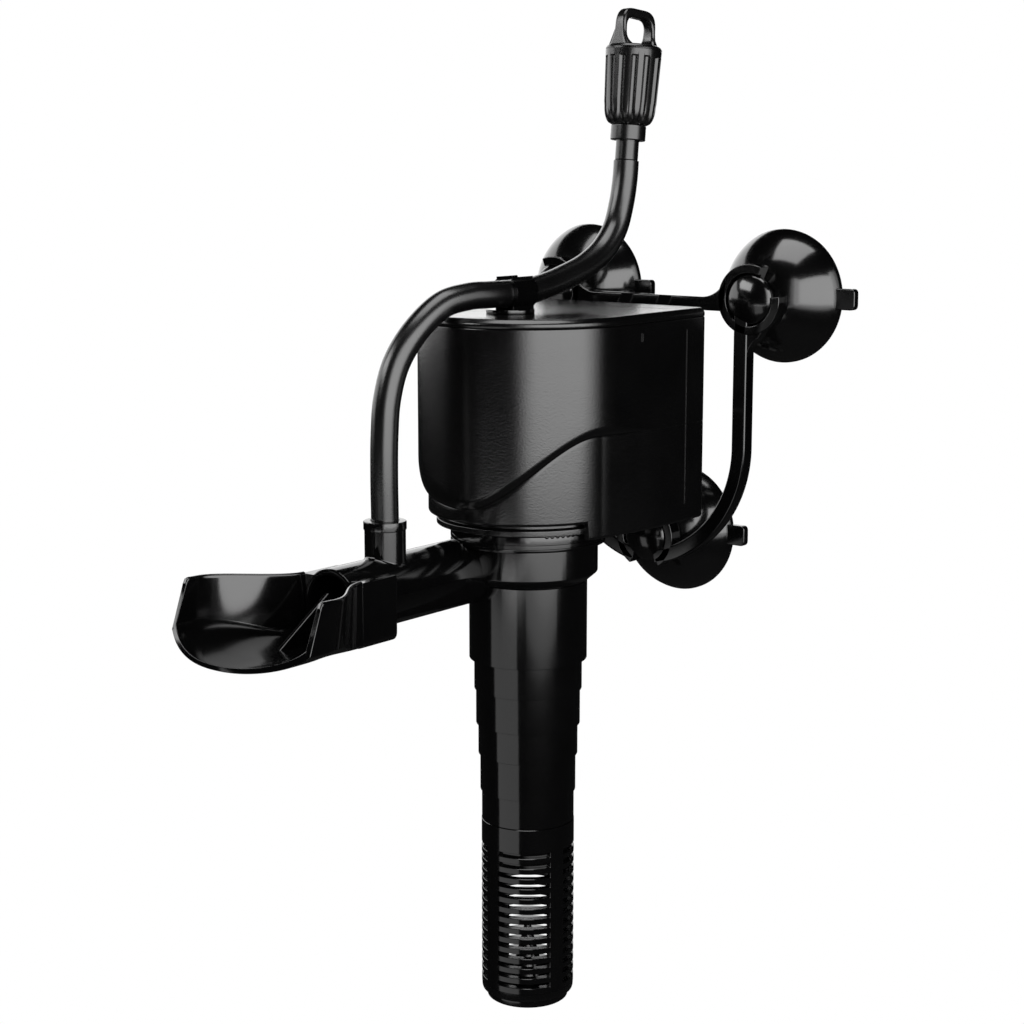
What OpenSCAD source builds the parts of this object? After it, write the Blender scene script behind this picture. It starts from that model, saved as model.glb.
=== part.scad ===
// Submersible circulation pump for an aquarium, hung on the tank wall by
// three suction cups.  Millimetres.  X runs along the wall, +Y points at
// the wall and +Z is up.  The origin is the centre of the strainer's foot,
// on the axis of the rotor and of the intake stem.

/* [Intake stem and strainer] */
// Outer radius of the strainer basket
strainer_r = 13.55; // [13.2:0.05:13.8]
// Height of the strainer basket
strainer_h = 54.9; // [50:0.5:70]
// Wall of the strainer basket
strainer_wall = 1.25; // [1:0.05:1.5]
// Number of slot rows in the strainer
slot_rows = 14; // [4:1:14]
// Height of one strainer slot
slot_h = 1.7; // [1:0.1:2]
// Distance from one slot row to the next
slot_pitch = 3.05; // [2.5:0.05:3.2]
// Height of the lowest slot row's underside
slot_start = 6.3; // [4:0.1:7]
// Width of the upright ribs between the slots
slot_rib = 2.2; // [1.5:0.1:4]
// Radii of the stem's steps, from the top one down
step_r = [17.0, 15.6, 15.1, 14.45, 13.9];
// Lengths of the stem's steps, from the top one down
step_len = [23.3, 9.2, 10.4, 9.1, 10.9];
// Radius of the plain length under the steps
stem_tail_r = 13.45; // [13.2:0.05:13.8]
// Length of the plain length under the steps
stem_tail_len = 8.7; // [6:0.5:12]
// Inner radius of the intake stem
stem_bore_r = 10.8; // [9:0.2:11.5]
// Length of the pump chamber's spigot in the stem
spigot_len = 6; // [4:0.5:8]
// Length of the stem's spigot in the strainer
foot_spigot_len = 13; // [5:0.5:14]

/* [Pump chamber] */
// Outer radius of the pump chamber
chamber_r = 20.0; // [19.5:0.1:20.1]
// Height of the pump chamber's drum
chamber_h = 11; // [10:0.5:14]
// Wall of the pump chamber
chamber_wall = 2.4; // [2:0.1:3]
// Thickness of the pump chamber's floor
chamber_floor = 2.5; // [2:0.1:3]
// Height of the chamfer under the drum
chamber_chamfer = 2.5; // [1:0.1:2.8]
// Sideways offset of the discharge pipe from the rotor axis
pipe_x = -10.0; // [-10.5:0.1:-9]
// Height of the discharge pipe's axis above the drum's underside
pipe_rise = 3.4; // [3:0.1:4]
// Outer radius of the discharge pipe
pipe_r = 9.45; // [9:0.05:9.8]
// Inner radius of the discharge pipe
pipe_bore_r = 7.6; // [6:0.1:7.8]
// Distance from the rotor axis to the pipe's mouth
pipe_reach = 72; // [70:0.5:80]
// Distance from the rotor axis to the air socket
socket_reach = 50.2; // [46:0.2:52]
// Outer radius of the air socket
socket_r = 5.6; // [5:0.1:6.5]
// Height of the air socket's rim above the pipe's axis
socket_rise = 19.3; // [16:0.1:22]

/* [Deflector] */
// Wall of the deflector
scoop_wall = 1.4; // [1:0.1:2]
// Half width of the deflector at its lip
scoop_half = 24.5; // [18:0.5:28]
// Height of the deflector's walls above the pipe's axis
scoop_top = 8.4; // [6:0.1:9]
// Height of the sleeve's open top above the pipe's axis
sleeve_top = 6.9; // [4:0.1:8]
// How far the walls' front edges lean back at their tops
scoop_rake = 4; // [0:0.5:8]
// Length of the deflector's sleeve on the pipe
sleeve_len = 13.5; // [8:0.5:14]
// Length of the deflector's flare from the sleeve to the lip's corners
flare_len = 34; // [25:0.5:40]
// How far the middle of the lip stands ahead of its corners
lip_bulge = 8; // [2:0.5:12]
// How far the lip's corners lie above the middle of its floor
corner_lift = 4.2; // [1:0.1:5]
// How far the floor rises from the sleeve to the lip
floor_rise = 1.4; // [0:0.1:3]
// Length of the fin in the deflector
fin_len = 19.5; // [10:0.5:24]
// Height of the fin in the deflector
fin_h = 14; // [8:0.5:16]

/* [Motor housing] */
// Radius of the housing's rounded front
body_r = 31.3; // [31:0.1:34]
// Distance from the rotor axis to the housing's back
body_back = 44.3; // [42:0.1:46]
// Height of the housing's side walls
body_h = 58.7; // [56:0.1:66]
// Radius of the housing's upright rear corners
body_corner = 2.5; // [1:0.1:4]
// Wall of the housing
body_wall = 2.2; // [1.8:0.1:2.8]
// Radius of the drawn-in skirt at the front
skirt_r = 28.5; // [28:0.1:29.5]
// Height of the skirt's styling line at the front middle
wave_low = 8.5; // [7:0.1:12]
// Rise of the styling line from the front to the right side
wave_rise = 20; // [8:0.5:24]
// Turn in which the styling line climbs on the right, in degrees
wave_turn_right = 78; // [60:1:84]
// Turn in which the styling line would climb as far on the left, in degrees
wave_turn_left = 189; // [150:1:220]
// Radius of the round base under the skirt
base_r = 26.2; // [25:0.1:27]
// Height of the front cut-out under the skirt
front_gap = 4.7; // [4.2:0.1:5]
// Outer radius of the neck that takes the pump chamber
neck_r = 20.2; // [20:0.1:20.4]
// Wall of the neck
neck_wall = 1.9; // [1.5:0.1:2]
// Outer radius of the locking collar
collar_r = 22.25; // [22:0.05:24]
// Height of the locking collar
collar_h = 5; // [4:0.1:5]
// Thickness of the lid
lid_h = 2.6; // [2:0.1:4]
// Width and height of the lid's bevel
lid_bevel = 1.2; // [0.5:0.1:1.6]

/* [Motor] */
// Radius of the rotor shaft
shaft_r = 1.5; // [1.2:0.1:2]
// Radius of the rotor magnet
magnet_r = 7.6; // [6:0.1:7.8]
// Length of the rotor magnet
magnet_h = 27; // [20:1:28]
// Inner radius of the rotor can
can_bore_r = 8.2; // [8:0.1:9]
// Wall of the rotor can
can_wall = 1.0; // [0.8:0.1:1.2]
// Height of the rotor can above its flange
can_h = 42; // [40:1:44]
// Radius of the impeller
impeller_r = 14.5; // [12:0.5:16]
// Height of the impeller's blades
blade_h = 6.5; // [4:0.5:7]
// Number of impeller blades
blades = 6; // [4:1:9]
// Height of the stator's stack of plates
core_h = 18; // [14:1:20]
// Width of one leg of the stator
core_leg = 9; // [7:0.5:9]

/* [Air hose and regulator] */
// Outer radius of the air hose
hose_r = 3.75; // [3.4:0.05:3.8]
// Inner radius of the air hose
hose_bore_r = 2.4; // [2:0.1:2.6]
// Height of the hose's axis above the lid where the clip holds it
hose_rise = 5.5; // [5:0.1:7]
// Length of the hose clip
clip_len = 9.5; // [6:0.5:12]
// Wall of the hose clip
clip_wall = 0.95; // [0.8:0.05:1.4]
// Radius of the hose clip's foot
clip_foot_r = 6.8; // [5:0.1:8]
// Lean of the regulator away from upright, in degrees
knob_lean = 6; // [0:1:12]
// Radius of the knob's lower end
knob_low_r = 7.6; // [7:0.1:8]
// Radius of the knob's upper end
knob_top_r = 8.3; // [8:0.1:9]
// Length of the knob's fluted barrel
knob_h = 19.5; // [15:0.5:24]
// Number of flutes round the knob
flutes = 14; // [8:1:18]
// Radius of one flute
flute_r = 0.95; // [0.6:0.05:1.2]
// Width of the knob's hanging loop
loop_w = 14; // [12:0.2:15.4]
// Height of the knob's hanging loop
loop_h = 11.5; // [9:0.5:14]
// Thickness of the knob's hanging loop
loop_t = 4.6; // [3:0.2:6]
// Width of the bar round the loop's hole
loop_bar = 3.3; // [2.5:0.1:4]

/* [Bracket and suction cups] */
// Radius of a suction cup
cup_r = 20; // [17:0.5:22]
// Depth of a suction cup from its rim to its neck
cup_h = 15; // [12:0.5:15]
// Radius of a suction cup's neck
neck_pin_r = 5; // [4:0.1:5.5]
// Radius of a suction cup's button head
head_r = 7.5; // [6:0.1:7.7]
// Half the distance between the two upper cups
cup_half_span = 35.85; // [34:0.1:40]
// Height of the upper cups
cup_top_z = 204.4; // [200:0.2:208]
// Height of the lower cup
cup_low_z = 129.8; // [126:0.2:134]
// Distance from the rotor axis to the tank wall
wall_y = 79.4; // [79.4:0.1:84]
// Outer radius of a bracket ring
ring_r = 10.4; // [9.8:0.1:12]
// Depth of the bracket, from its front to its back
bracket_t = 4.8; // [4.6:0.1:6]
// Width of the bracket's arms and bar
arm_w = 4.6; // [4:0.1:6]
// Sideways place of each arm's straight length
arm_x = 33.3; // [31:0.1:35]
// Radius of each arm's bend
arm_bend_r = 37; // [30:0.5:38]
// Width of a rail on the bracket
rail_w = 4.7; // [4:0.1:5.5]
// Sideways place of each rail
rail_x = 7; // [6:0.1:8]
// Length of a rail below the bar
rail_len = 30; // [20:1:34]

/* [Hidden] */
$fn = 72;
eps = 0.02;
push_gap = 0.1;             // between two pieces that push together
turn_gap = 0.08;            // radial gap of a piece that turns on another
free_gap = 0.3;             // between pieces that pass each other
shaft_gap = 0.05;           // radial gap of the rotor on its shaft

// Heights, built up from the strainer's foot
stem_z = strainer_h + push_gap;
function tail_sum(list, from) = from >= len(list) ? 0 : list[from] + tail_sum(list, from + 1);
function step_base(i) = stem_z + stem_tail_len + tail_sum(step_len, i + 1);
drum_z = step_base(0) + step_len[0];
drum_top = drum_z + chamber_h;
pipe_z = drum_z + pipe_rise;
collar_z = drum_top + push_gap * 2;
base_z = collar_z + collar_h + push_gap * 3;
skirt_z = base_z + 3.2;
body_z = skirt_z - front_gap;
body_top = body_z + body_h;
lid_top = body_top + lid_h;
lid_lip = 3;

// Stem and strainer
stem_spigot_r = strainer_r - strainer_wall - push_gap;
stem_socket_r = 14.1;
chamber_spigot_r = stem_socket_r - push_gap;
intake_r = 11.5;
foot_r = 11.9;
foot_band = 2.5;
rib_turn = -14;
guard_low_r = 6.2;
guard_top_r = 0.6;
guard_h = 21.5;

// Chamber, can and rotor
neck_bore_r = neck_r - neck_wall;
top_spigot_r = neck_bore_r - push_gap;
top_spigot_h = 3.1;
seal_r = 0.6;
seal_ring_r = top_spigot_r - 0.9;
cavity_r = chamber_r - chamber_wall - 1.1;
cavity_z = drum_z + chamber_floor;
spigot_top = drum_top + top_spigot_h;
can_flange_z = spigot_top + 2 * seal_r;
can_flange_h = base_z - can_flange_z;
can_top = base_z + can_h;
can_out_r = can_bore_r + can_wall;
bush_h = 5;
shaft_z = drum_z + 1;
shaft_top = can_top - can_wall - 3;
lower_bush_r = 2.4;
washer_h = 0.4;
impeller_z = cavity_z + 1.4;
hub_r = 4.5;
rotor_top = shaft_top - 2.4;
magnet_z = rotor_top - 1 - magnet_h;
core_z = magnet_z + magnet_h / 2 - core_h / 2;
core_back = body_back - body_wall - 3;
core_front = -can_out_r + 1;
bobbin_len = 17;
bobbin_wall = 1;
bobbin_flange = 4.6;
bobbin_y = core_back - core_leg - bobbin_len - 0.4;
leg_x = can_out_r + push_gap + core_leg / 2;
can_clear = 3.9;            // between the rotor can and the resin over it
slab_z = can_top + can_clear;
slab_top = body_top - lid_lip - free_gap;

// Bracket
ring_y = wall_y - cup_h - bracket_t - 1.0;
ring_back = ring_y + bracket_t;
head_seat = ring_y + 2.0;
ring_hole_r = neck_pin_r + turn_gap;
recess_r = head_r + free_gap;
mouth_turn = 60;
bar_top = cup_top_z + 0.2;
bar_base = bar_top - arm_w + 0.6;
arm_bend_x = arm_x - arm_bend_r;
arm_bend_z = cup_low_z + 30.2;
rail_front = ring_y - 1.6;
rail_web = 2.4;
rail_head_y = ring_y - 7.6;
rail_head_t = 2.2;
rail_gap = 0.2;
saddle_half = 12.5;
saddle_back = ring_y - 2.8;
saddle_top = bar_base - 4.6;
saddle_z = body_z + 8;
slot_top = saddle_top - 2.5;
cup_places = [
    [-cup_half_span, cup_top_z, 45],
    [cup_half_span, cup_top_z, 37],
    [0, cup_low_z, -90]
];

// Clip, hose and regulator
hose_z = lid_top + hose_rise;
clip_y = -6.3;
clip_out_r = hose_r + push_gap + clip_wall;
socket_bore_r = hose_r + push_gap;
knob_base = [0, 47.2, hose_z + 36.2];
stub_r = 3.4;
stub_len = 7;
plug_len = 6;
valve_stem_len = 14;
valve_r = 5.2;
valve_len = 4.2;
knob_taper = 2.6;
sleeve_bore_r = pipe_r + turn_gap;
sleeve_r = sleeve_bore_r + scoop_wall;

// Route of the hose.  It first climbs from the socket to the clip: shares of
// the socket's sideways offset, of its reach and of the climb.
socket_floor = pipe_z + pipe_r + 2;
hose_start = socket_floor + 0.55;
climb = [
    [1, 1, 0], [1, 1, 0.1205], [1, 1.002, 0.2861], [1, 0.996, 0.4518],
    [0.98, 0.976, 0.6024], [0.9, 0.9163, 0.7455], [0.7, 0.8068, 0.869],
    [0.46, 0.6454, 0.9669], [0.23, 0.4781, 0.997], [0.06, 0.3386, 1], [0, 0.2291, 1]
];
// Behind the clip it rises to the regulator: distances from the rotor axis
// and heights above the clip
rise_back = [
    [-6, 0], [0, 0.1], [9, 1.4], [18, 3.4], [27, 6], [35.4, 10.2], [41.6, 16.2],
    [44.9, 23.6], [46.6, 30.6], [knob_base[1], knob_base[2] - hose_z - 0.2]
];
hose_route = concat(
    [for (p = climb) [pipe_x * p[0], -socket_reach * p[1],
        hose_start + (hose_z - hose_start) * p[2]]],
    [for (p = rise_back) [0, p[0], hose_z + p[1]]]);
route_steps = 3;
hose_sides = 12;

// ---------------------------------------------------------------- helpers

module ring(outer, inner, height) {
    difference() {
        cylinder(r = outer, h = height);
        translate([0, 0, -1]) cylinder(r = inner, h = height + 2);
    }
}

// Turns a solid that stands on +Z so that it lies along +Y
module along_y() {
    rotate([-90, 0, 0]) children();
}

// Plan of the housing: a half round front and a square back
module body_plan(r, back, corner) {
    circle(r);
    translate([-r, 0]) square([2 * r, back - corner]);
    translate([-r + corner, 0]) square([2 * (r - corner), back]);
    for (side = [-1, 1])
        translate([side * (r - corner), back - corner]) circle(corner);
}

// ---------------------------------------------------------------- housing

// Plan of the skirt: drawn in at the front, full width at the back
module skirt_plan() {
    turn = 8;
    flare = (body_r - skirt_r * cos(turn)) / sin(turn);
    flare_y = -skirt_r * sin(turn) + flare * cos(turn);
    circle(skirt_r);
    polygon([
        [-skirt_r * cos(turn), -skirt_r * sin(turn)],
        [skirt_r * cos(turn), -skirt_r * sin(turn)],
        [body_r, flare_y], [body_r, body_back + 5],
        [-body_r, body_back + 5], [-body_r, flare_y]
    ]);
}

// Height of the styling line at an angle from the housing's front.  It climbs
// quickly on the right and slowly on the left.
function wave_z(angle) =
    let (share = angle < 0 ? -angle / wave_turn_left : min(angle / wave_turn_right, 1))
    body_z + wave_low + wave_rise / 2 * (1 - cos(180 * share));

module below_wave() {
    wave_steps = 12;
    reach = body_r + 2;
    line = [for (i = [-wave_steps:wave_steps])
        let (a = 84 * i / wave_steps) [body_r * sin(a), wave_z(a)]];
    translate([0, body_back, 0]) rotate([90, 0, 0])
        linear_extrude(body_back + body_r + 5)
            polygon(concat([[-reach, wave_z(-84)]], line, [[reach, wave_z(84)]],
                [[reach, body_z - 5], [-reach, body_z - 5]]));
}

module skirt_cut() {
    difference() {
        below_wave();
        translate([0, 0, body_z - 10]) linear_extrude(body_h) skirt_plan();
    }
}

// T-shaped slot in the saddle for one rail, open below and closed above, so
// that the pump hangs on the rails and lifts off them
module rail_slot() {
    head_w = rail_w + 2 * rail_gap;
    web_w = rail_web + 2 * rail_gap;
    height = slot_top - saddle_z + 1;
    translate([-head_w / 2, rail_head_y - rail_gap, saddle_z - 1])
        cube([head_w, rail_head_t + 2 * rail_gap, height]);
    translate([-web_w / 2, rail_head_y, saddle_z - 1])
        cube([web_w, saddle_back - rail_head_y + 1, height]);
}

module saddle() {
    difference() {
        translate([-saddle_half, body_back - 1, saddle_z])
            cube([2 * saddle_half, saddle_back - body_back + 1, saddle_top - saddle_z]);
        for (side = [-1, 1]) translate([side * rail_x, 0, 0]) rail_slot();
    }
}

gland_x = 9.3 - body_r;
gland_z = body_top - 14;
gland_r = 5;
gland_bore_r = 2.6;
gland_out = 7.5;

module motor_housing() {
    color("#17181a") difference() {
        union() {
            difference() {
                translate([0, 0, body_z]) linear_extrude(body_h)
                    body_plan(body_r, body_back, body_corner);
                skirt_cut();
                // The front of the skirt stops higher than the sides
                translate([-body_r - 1, -body_r - 1, body_z - 1])
                    cube([2 * body_r + 2, body_r + 1 - 11.2, front_gap + 1]);
            }
            translate([0, 0, base_z]) cylinder(r = base_r, h = 4);
            translate([0, 0, drum_top + push_gap]) cylinder(r = neck_r, h = base_z - drum_top);
            saddle();
            // Short index rib on the right side
            translate([body_r - 0.2, 10.9, body_top - 5.2]) cube([0.5, 0.6, 2.6]);
        }
        // Motor room
        translate([0, 0, skirt_z])
            linear_extrude(body_h)
                body_plan(skirt_r - body_wall, body_back - body_wall, body_corner);
        translate([0, 0, body_top - lid_lip - free_gap])
            linear_extrude(lid_lip + 1)
                body_plan(body_r - body_wall, body_back - body_wall, body_corner);
        translate([0, 0, drum_top - 1]) cylinder(r = neck_bore_r, h = base_z - drum_top + 1);
        translate([0, 0, base_z - 1]) cylinder(r = can_out_r + push_gap, h = 10);
        // Room under the base for the locking collar
        translate([0, 0, body_z - 1]) ring(base_r, neck_r, base_z - body_z + 1);
        // Hollow under the rear of the floor
        translate([-body_r + body_wall, -11.2 + body_wall, body_z - 1]) difference() {
            cube([2 * (body_r - body_wall), body_back + 11.2 - 2 * body_wall,
                skirt_z - body_z - 1]);
            translate([body_r - body_wall, 11.2 - body_wall, 0])
                cylinder(r = base_r, h = 10);
        }
        translate([gland_x, body_back + 1, gland_z]) rotate([90, 0, 0])
            cylinder(r = gland_r - 1.2 + push_gap, h = body_wall + 2);
    }
}

module top_lid() {
    flat = lid_h - lid_bevel;
    color("#1b1c1e") {
        difference() {
            union() {
                translate([0, 0, body_top]) linear_extrude(flat)
                    body_plan(body_r, body_back, body_corner);
                // Bevelled top: a round front and straight sides
                translate([0, 0, body_top + flat])
                    cylinder(r1 = body_r, r2 = body_r - lid_bevel, h = lid_bevel);
                translate([0, body_back, body_top + flat]) rotate([90, 0, 0])
                    linear_extrude(body_back) polygon([
                        [-body_r, 0], [body_r, 0],
                        [body_r - lid_bevel, lid_bevel], [-body_r + lid_bevel, lid_bevel]]);
                translate([0, 0, body_top - lid_lip]) linear_extrude(lid_lip + eps)
                    body_plan(body_r - body_wall - push_gap, body_back - body_wall - push_gap,
                        body_corner);
            }
            // Bevel along the back edge
            translate([-body_r - 1, body_back, body_top + flat]) rotate([90, 0, 90])
                linear_extrude(2 * body_r + 2) polygon([
                    [0, 0], [1, 0], [1, lid_bevel + 1], [-lid_bevel - 1, lid_bevel + 1],
                    [-lid_bevel, lid_bevel]]);
            // Fine groove across the back of the lid
            translate([-body_r + 5, body_back - 13.3, lid_top - 0.4])
                cube([2 * body_r - 10, 0.6, 1]);
            // Hollow underside
            translate([0, 0, body_top - lid_lip - 1]) linear_extrude(lid_lip + 1)
                body_plan(body_r - 2 * body_wall - push_gap,
                    body_back - 2 * body_wall - push_gap, body_corner);
            translate([0, clip_y - 2, body_top - 1])
                cylinder(r = 2.5, h = lid_h + 2);
        }
    }
}

module hose_clip() {
    mouth = 34;
    color("#0d0d0e") difference() {
        union() {
            translate([0, clip_y - 2, lid_top]) cylinder(r = clip_foot_r, h = 1.2);
            translate([0, clip_y - 2, body_top + 0.5]) cylinder(r = 2.5 - push_gap, h = lid_h);
            translate([0, clip_y - clip_len / 2, hose_z]) along_y()
                cylinder(r = clip_out_r, h = clip_len);
            translate([-3.2, clip_y - clip_len / 2, lid_top + 0.5])
                cube([6.4, clip_len, hose_rise - hose_r]);
            for (side = [-1, 1])
                translate([side * clip_out_r * sin(mouth + 8) - 0.6, clip_y - clip_len / 2,
                    hose_z + clip_out_r * cos(mouth + 8) - 0.7])
                    cube([1.2, clip_len, 1.6]);
        }
        translate([0, clip_y - clip_len / 2 - 1, hose_z]) along_y()
            cylinder(r = hose_r + push_gap, h = clip_len + 2);
        // Mouth of the clip
        translate([0, clip_y + clip_len / 2 + 1, hose_z]) rotate([90, 0, 0])
            linear_extrude(clip_len + 2) polygon([
                [0, 0], [9 * sin(mouth), 9 * cos(mouth)], [-9 * sin(mouth), 9 * cos(mouth)]]);
    }
}

module cord_gland() {
    color("#0f0f10") translate([gland_x, body_back, gland_z]) along_y() difference() {
        union() {
            cylinder(r1 = gland_r, r2 = gland_r - 1, h = gland_out);
            translate([0, 0, -body_wall]) cylinder(r = gland_r - 1.2, h = body_wall + 1);
        }
        translate([0, 0, -body_wall - 1]) cylinder(r = gland_bore_r, h = gland_out + body_wall + 2);
    }
}

// ------------------------------------------------------------------ motor

module potting_slab() {
    color("#2b2a26") translate([0, 0, slab_z]) linear_extrude(slab_top - slab_z)
        body_plan(skirt_r - body_wall - push_gap, body_back - body_wall - push_gap,
            body_corner);
}

module stator_core() {
    color("#6d7074") difference() {
        union() {
            for (side = [-1, 1])
                translate([side * leg_x - core_leg / 2, core_front, core_z])
                    cube([core_leg, core_back - core_front, core_h]);
            translate([-leg_x, core_back - core_leg, core_z])
                cube([2 * leg_x, core_leg, core_h]);
        }
        translate([0, 0, core_z - 1]) cylinder(r = can_out_r + push_gap, h = core_h + 2);
    }
}

module bobbin(side) {
    tube_w = core_leg + 2 * (bobbin_wall + push_gap);
    tube_h = core_h + 2 * (bobbin_wall + push_gap);
    translate([side * leg_x, bobbin_y, core_z + core_h / 2]) difference() {
        union() {
            translate([-tube_w / 2, 0, -tube_h / 2]) cube([tube_w, bobbin_len, tube_h]);
            for (end = [0, bobbin_len - bobbin_wall])
                translate([-tube_w / 2 - bobbin_flange, end, -tube_h / 2 - bobbin_flange])
                    cube([tube_w + 2 * bobbin_flange, bobbin_wall, tube_h + 2 * bobbin_flange]);
        }
        translate([-core_leg / 2 - push_gap, -1, -core_h / 2 - push_gap])
            cube([core_leg + 2 * push_gap, bobbin_len + 2, core_h + 2 * push_gap]);
    }
}

module bobbin_left() { color("#d8d4c4") bobbin(-1); }

module bobbin_right() { color("#d8d4c4") bobbin(1); }

module coil(side) {
    inner_w = core_leg + 2 * (bobbin_wall + push_gap);
    inner_h = core_h + 2 * (bobbin_wall + push_gap);
    depth = bobbin_flange - 0.6;
    length = bobbin_len - 2 * bobbin_wall;
    translate([side * leg_x, bobbin_y + bobbin_wall, core_z + core_h / 2]) difference() {
        translate([-inner_w / 2 - depth, 0, -inner_h / 2 - depth])
            cube([inner_w + 2 * depth, length, inner_h + 2 * depth]);
        translate([-inner_w / 2, -1, -inner_h / 2]) cube([inner_w, length + 2, inner_h]);
    }
}

module coil_left() { color("#b06a32") coil(-1); }

module coil_right() { color("#b06a32") coil(1); }

module rotor_can() {
    color("#202124") difference() {
        union() {
            translate([0, 0, can_flange_z])
                cylinder(r = neck_bore_r - push_gap, h = can_flange_h);
            translate([0, 0, base_z - 0.5]) cylinder(r = can_out_r, h = can_h + 0.5);
        }
        translate([0, 0, can_flange_z - 1])
            cylinder(r = can_bore_r, h = can_top - can_wall - can_flange_z + 1);
    }
}

module upper_bush() {
    color("#35383b") translate([0, 0, can_top - can_wall - bush_h])
        ring(can_bore_r - push_gap, shaft_r, bush_h);
}

module lower_bush() {
    color("#35383b") translate([0, 0, drum_z])
        ring(lower_bush_r, shaft_r, impeller_z - washer_h - shaft_gap - drum_z);
}

module thrust_washer() {
    color("#d9d9d4") translate([0, 0, impeller_z - washer_h - shaft_gap])
        ring(3, shaft_r + shaft_gap, washer_h);
}

module shaft() {
    color("#e8e8e4") translate([0, 0, shaft_z]) cylinder(r = shaft_r, h = shaft_top - shaft_z);
}

module rotor_magnet() {
    color("#3a3c3f") translate([0, 0, magnet_z]) ring(magnet_r, hub_r, magnet_h);
}

module impeller() {
    color("#e9e7df") difference() {
        union() {
            translate([0, 0, impeller_z]) cylinder(r = hub_r, h = rotor_top - impeller_z);
            translate([0, 0, impeller_z + blade_h]) cylinder(r = impeller_r, h = 1.2);
            for (i = [0:blades - 1]) rotate([0, 0, 360 * i / blades])
                translate([hub_r - 1, -0.6, impeller_z])
                    cube([impeller_r - hub_r, 1.2, blade_h + 0.5]);
        }
        translate([0, 0, impeller_z - 1]) cylinder(r = shaft_r + shaft_gap, h = rotor_top);
    }
}

// ---------------------------------------------------------------- chamber

module chamber_seal() {
    color("#101010") translate([0, 0, spigot_top + seal_r]) rotate_extrude()
        translate([seal_ring_r, 0]) circle(seal_r, $fn = 24);
}

module lock_collar() {
    tooth = 0.6;
    tooth_h = 1.4;
    color("#101112") translate([0, 0, collar_z]) difference() {
        union() {
            cylinder(r = collar_r, h = collar_h);
            // Grip teeth in two groups
            for (group = [0, 180], i = [-4:4])
                rotate([0, 0, -32 + group + 3 * i])
                    translate([collar_r - 2 * tooth, -tooth / 2, collar_h - tooth_h - 0.3])
                        cube([2 * tooth + 0.35, tooth, tooth_h]);
        }
        translate([0, 0, -1]) cylinder(r = neck_r + turn_gap, h = collar_h + 2);
        // Two fine grooves round the collar
        for (h = [1, 2.2]) translate([0, 0, h]) ring(collar_r + 1, collar_r - 0.25, 0.4);
    }
}

module spider() {
    ring(lower_bush_r + 1.4, lower_bush_r, chamber_floor);
    for (i = [0:2]) rotate([0, 0, 120 * i + 30])
        translate([lower_bush_r + 0.9, -0.9, 0]) cube([intake_r - lower_bush_r, 1.8, chamber_floor]);
}

module pump_chamber() {
    color("#0e0e0f") difference() {
        union() {
            translate([0, 0, drum_z + chamber_chamfer])
                cylinder(r = chamber_r, h = chamber_h - chamber_chamfer);
            translate([0, 0, drum_z])
                cylinder(r1 = step_r[0] + 0.1, r2 = chamber_r, h = chamber_chamfer);
            translate([0, 0, drum_top - 1]) cylinder(r = top_spigot_r, h = top_spigot_h + 1);
            translate([0, 0, drum_z - spigot_len - 2])
                cylinder(r = chamber_spigot_r, h = spigot_len + 3);
            // Discharge pipe, kept clear of the stem and of the collar
            difference() {
                translate([pipe_x, -pipe_reach, pipe_z]) along_y()
                    cylinder(r = pipe_r, h = pipe_reach - 10);
                translate([0, 0, drum_z - 30]) cylinder(r = step_r[0] + free_gap, h = 30);
                translate([0, 0, drum_top]) cylinder(r = collar_r + 2 * free_gap, h = 30);
            }
            translate([pipe_x, -socket_reach, pipe_z]) cylinder(r = socket_r, h = socket_rise);
            translate([pipe_x, -socket_reach, pipe_z + socket_rise - 2.6])
                cylinder(r = socket_r + 0.25, h = 1);
        }
        // Room for the impeller
        translate([0, 0, cavity_z]) cylinder(r = cavity_r, h = spigot_top - cavity_z + 1);
        // Intake, crossed by the spider that holds the lower bush
        difference() {
            translate([0, 0, drum_z - spigot_len - 5])
                cylinder(r = intake_r, h = spigot_len + 5 + chamber_floor + 1);
            translate([0, 0, drum_z]) spider();
        }
        // Bore of the discharge pipe
        translate([pipe_x, -pipe_reach - 1, pipe_z]) along_y()
            cylinder(r = pipe_bore_r, h = pipe_reach - chamber_r + 2);
        intersection() {
            translate([pipe_x, -chamber_r - 2, pipe_z]) along_y()
                cylinder(r = pipe_bore_r, h = 14);
            translate([-40, -40, cavity_z]) cube([80, 80, chamber_h - chamber_floor - 1]);
        }
        // Bore of the air socket
        translate([pipe_x, -socket_reach, pipe_z])
            cylinder(r = hose_bore_r, h = socket_rise + 1);
        translate([pipe_x, -socket_reach, socket_floor])
            cylinder(r = socket_bore_r, h = socket_rise);
    }
}

// ------------------------------------------------------- stem and strainer

module intake_stem() {
    color("#0b0b0c") difference() {
        union() {
            for (i = [0:len(step_r) - 1])
                translate([0, 0, step_base(i)]) cylinder(r = step_r[i], h = step_len[i]);
            translate([0, 0, stem_z]) cylinder(r = stem_tail_r, h = stem_tail_len + eps);
            translate([0, 0, stem_z - foot_spigot_len])
                cylinder(r = stem_spigot_r, h = foot_spigot_len + eps);
        }
        translate([0, 0, stem_z - foot_spigot_len - 1]) cylinder(r = stem_bore_r, h = 200);
        translate([0, 0, drum_z - spigot_len - 2 - push_gap])
            cylinder(r = stem_socket_r, h = spigot_len + 10);
    }
}

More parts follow.
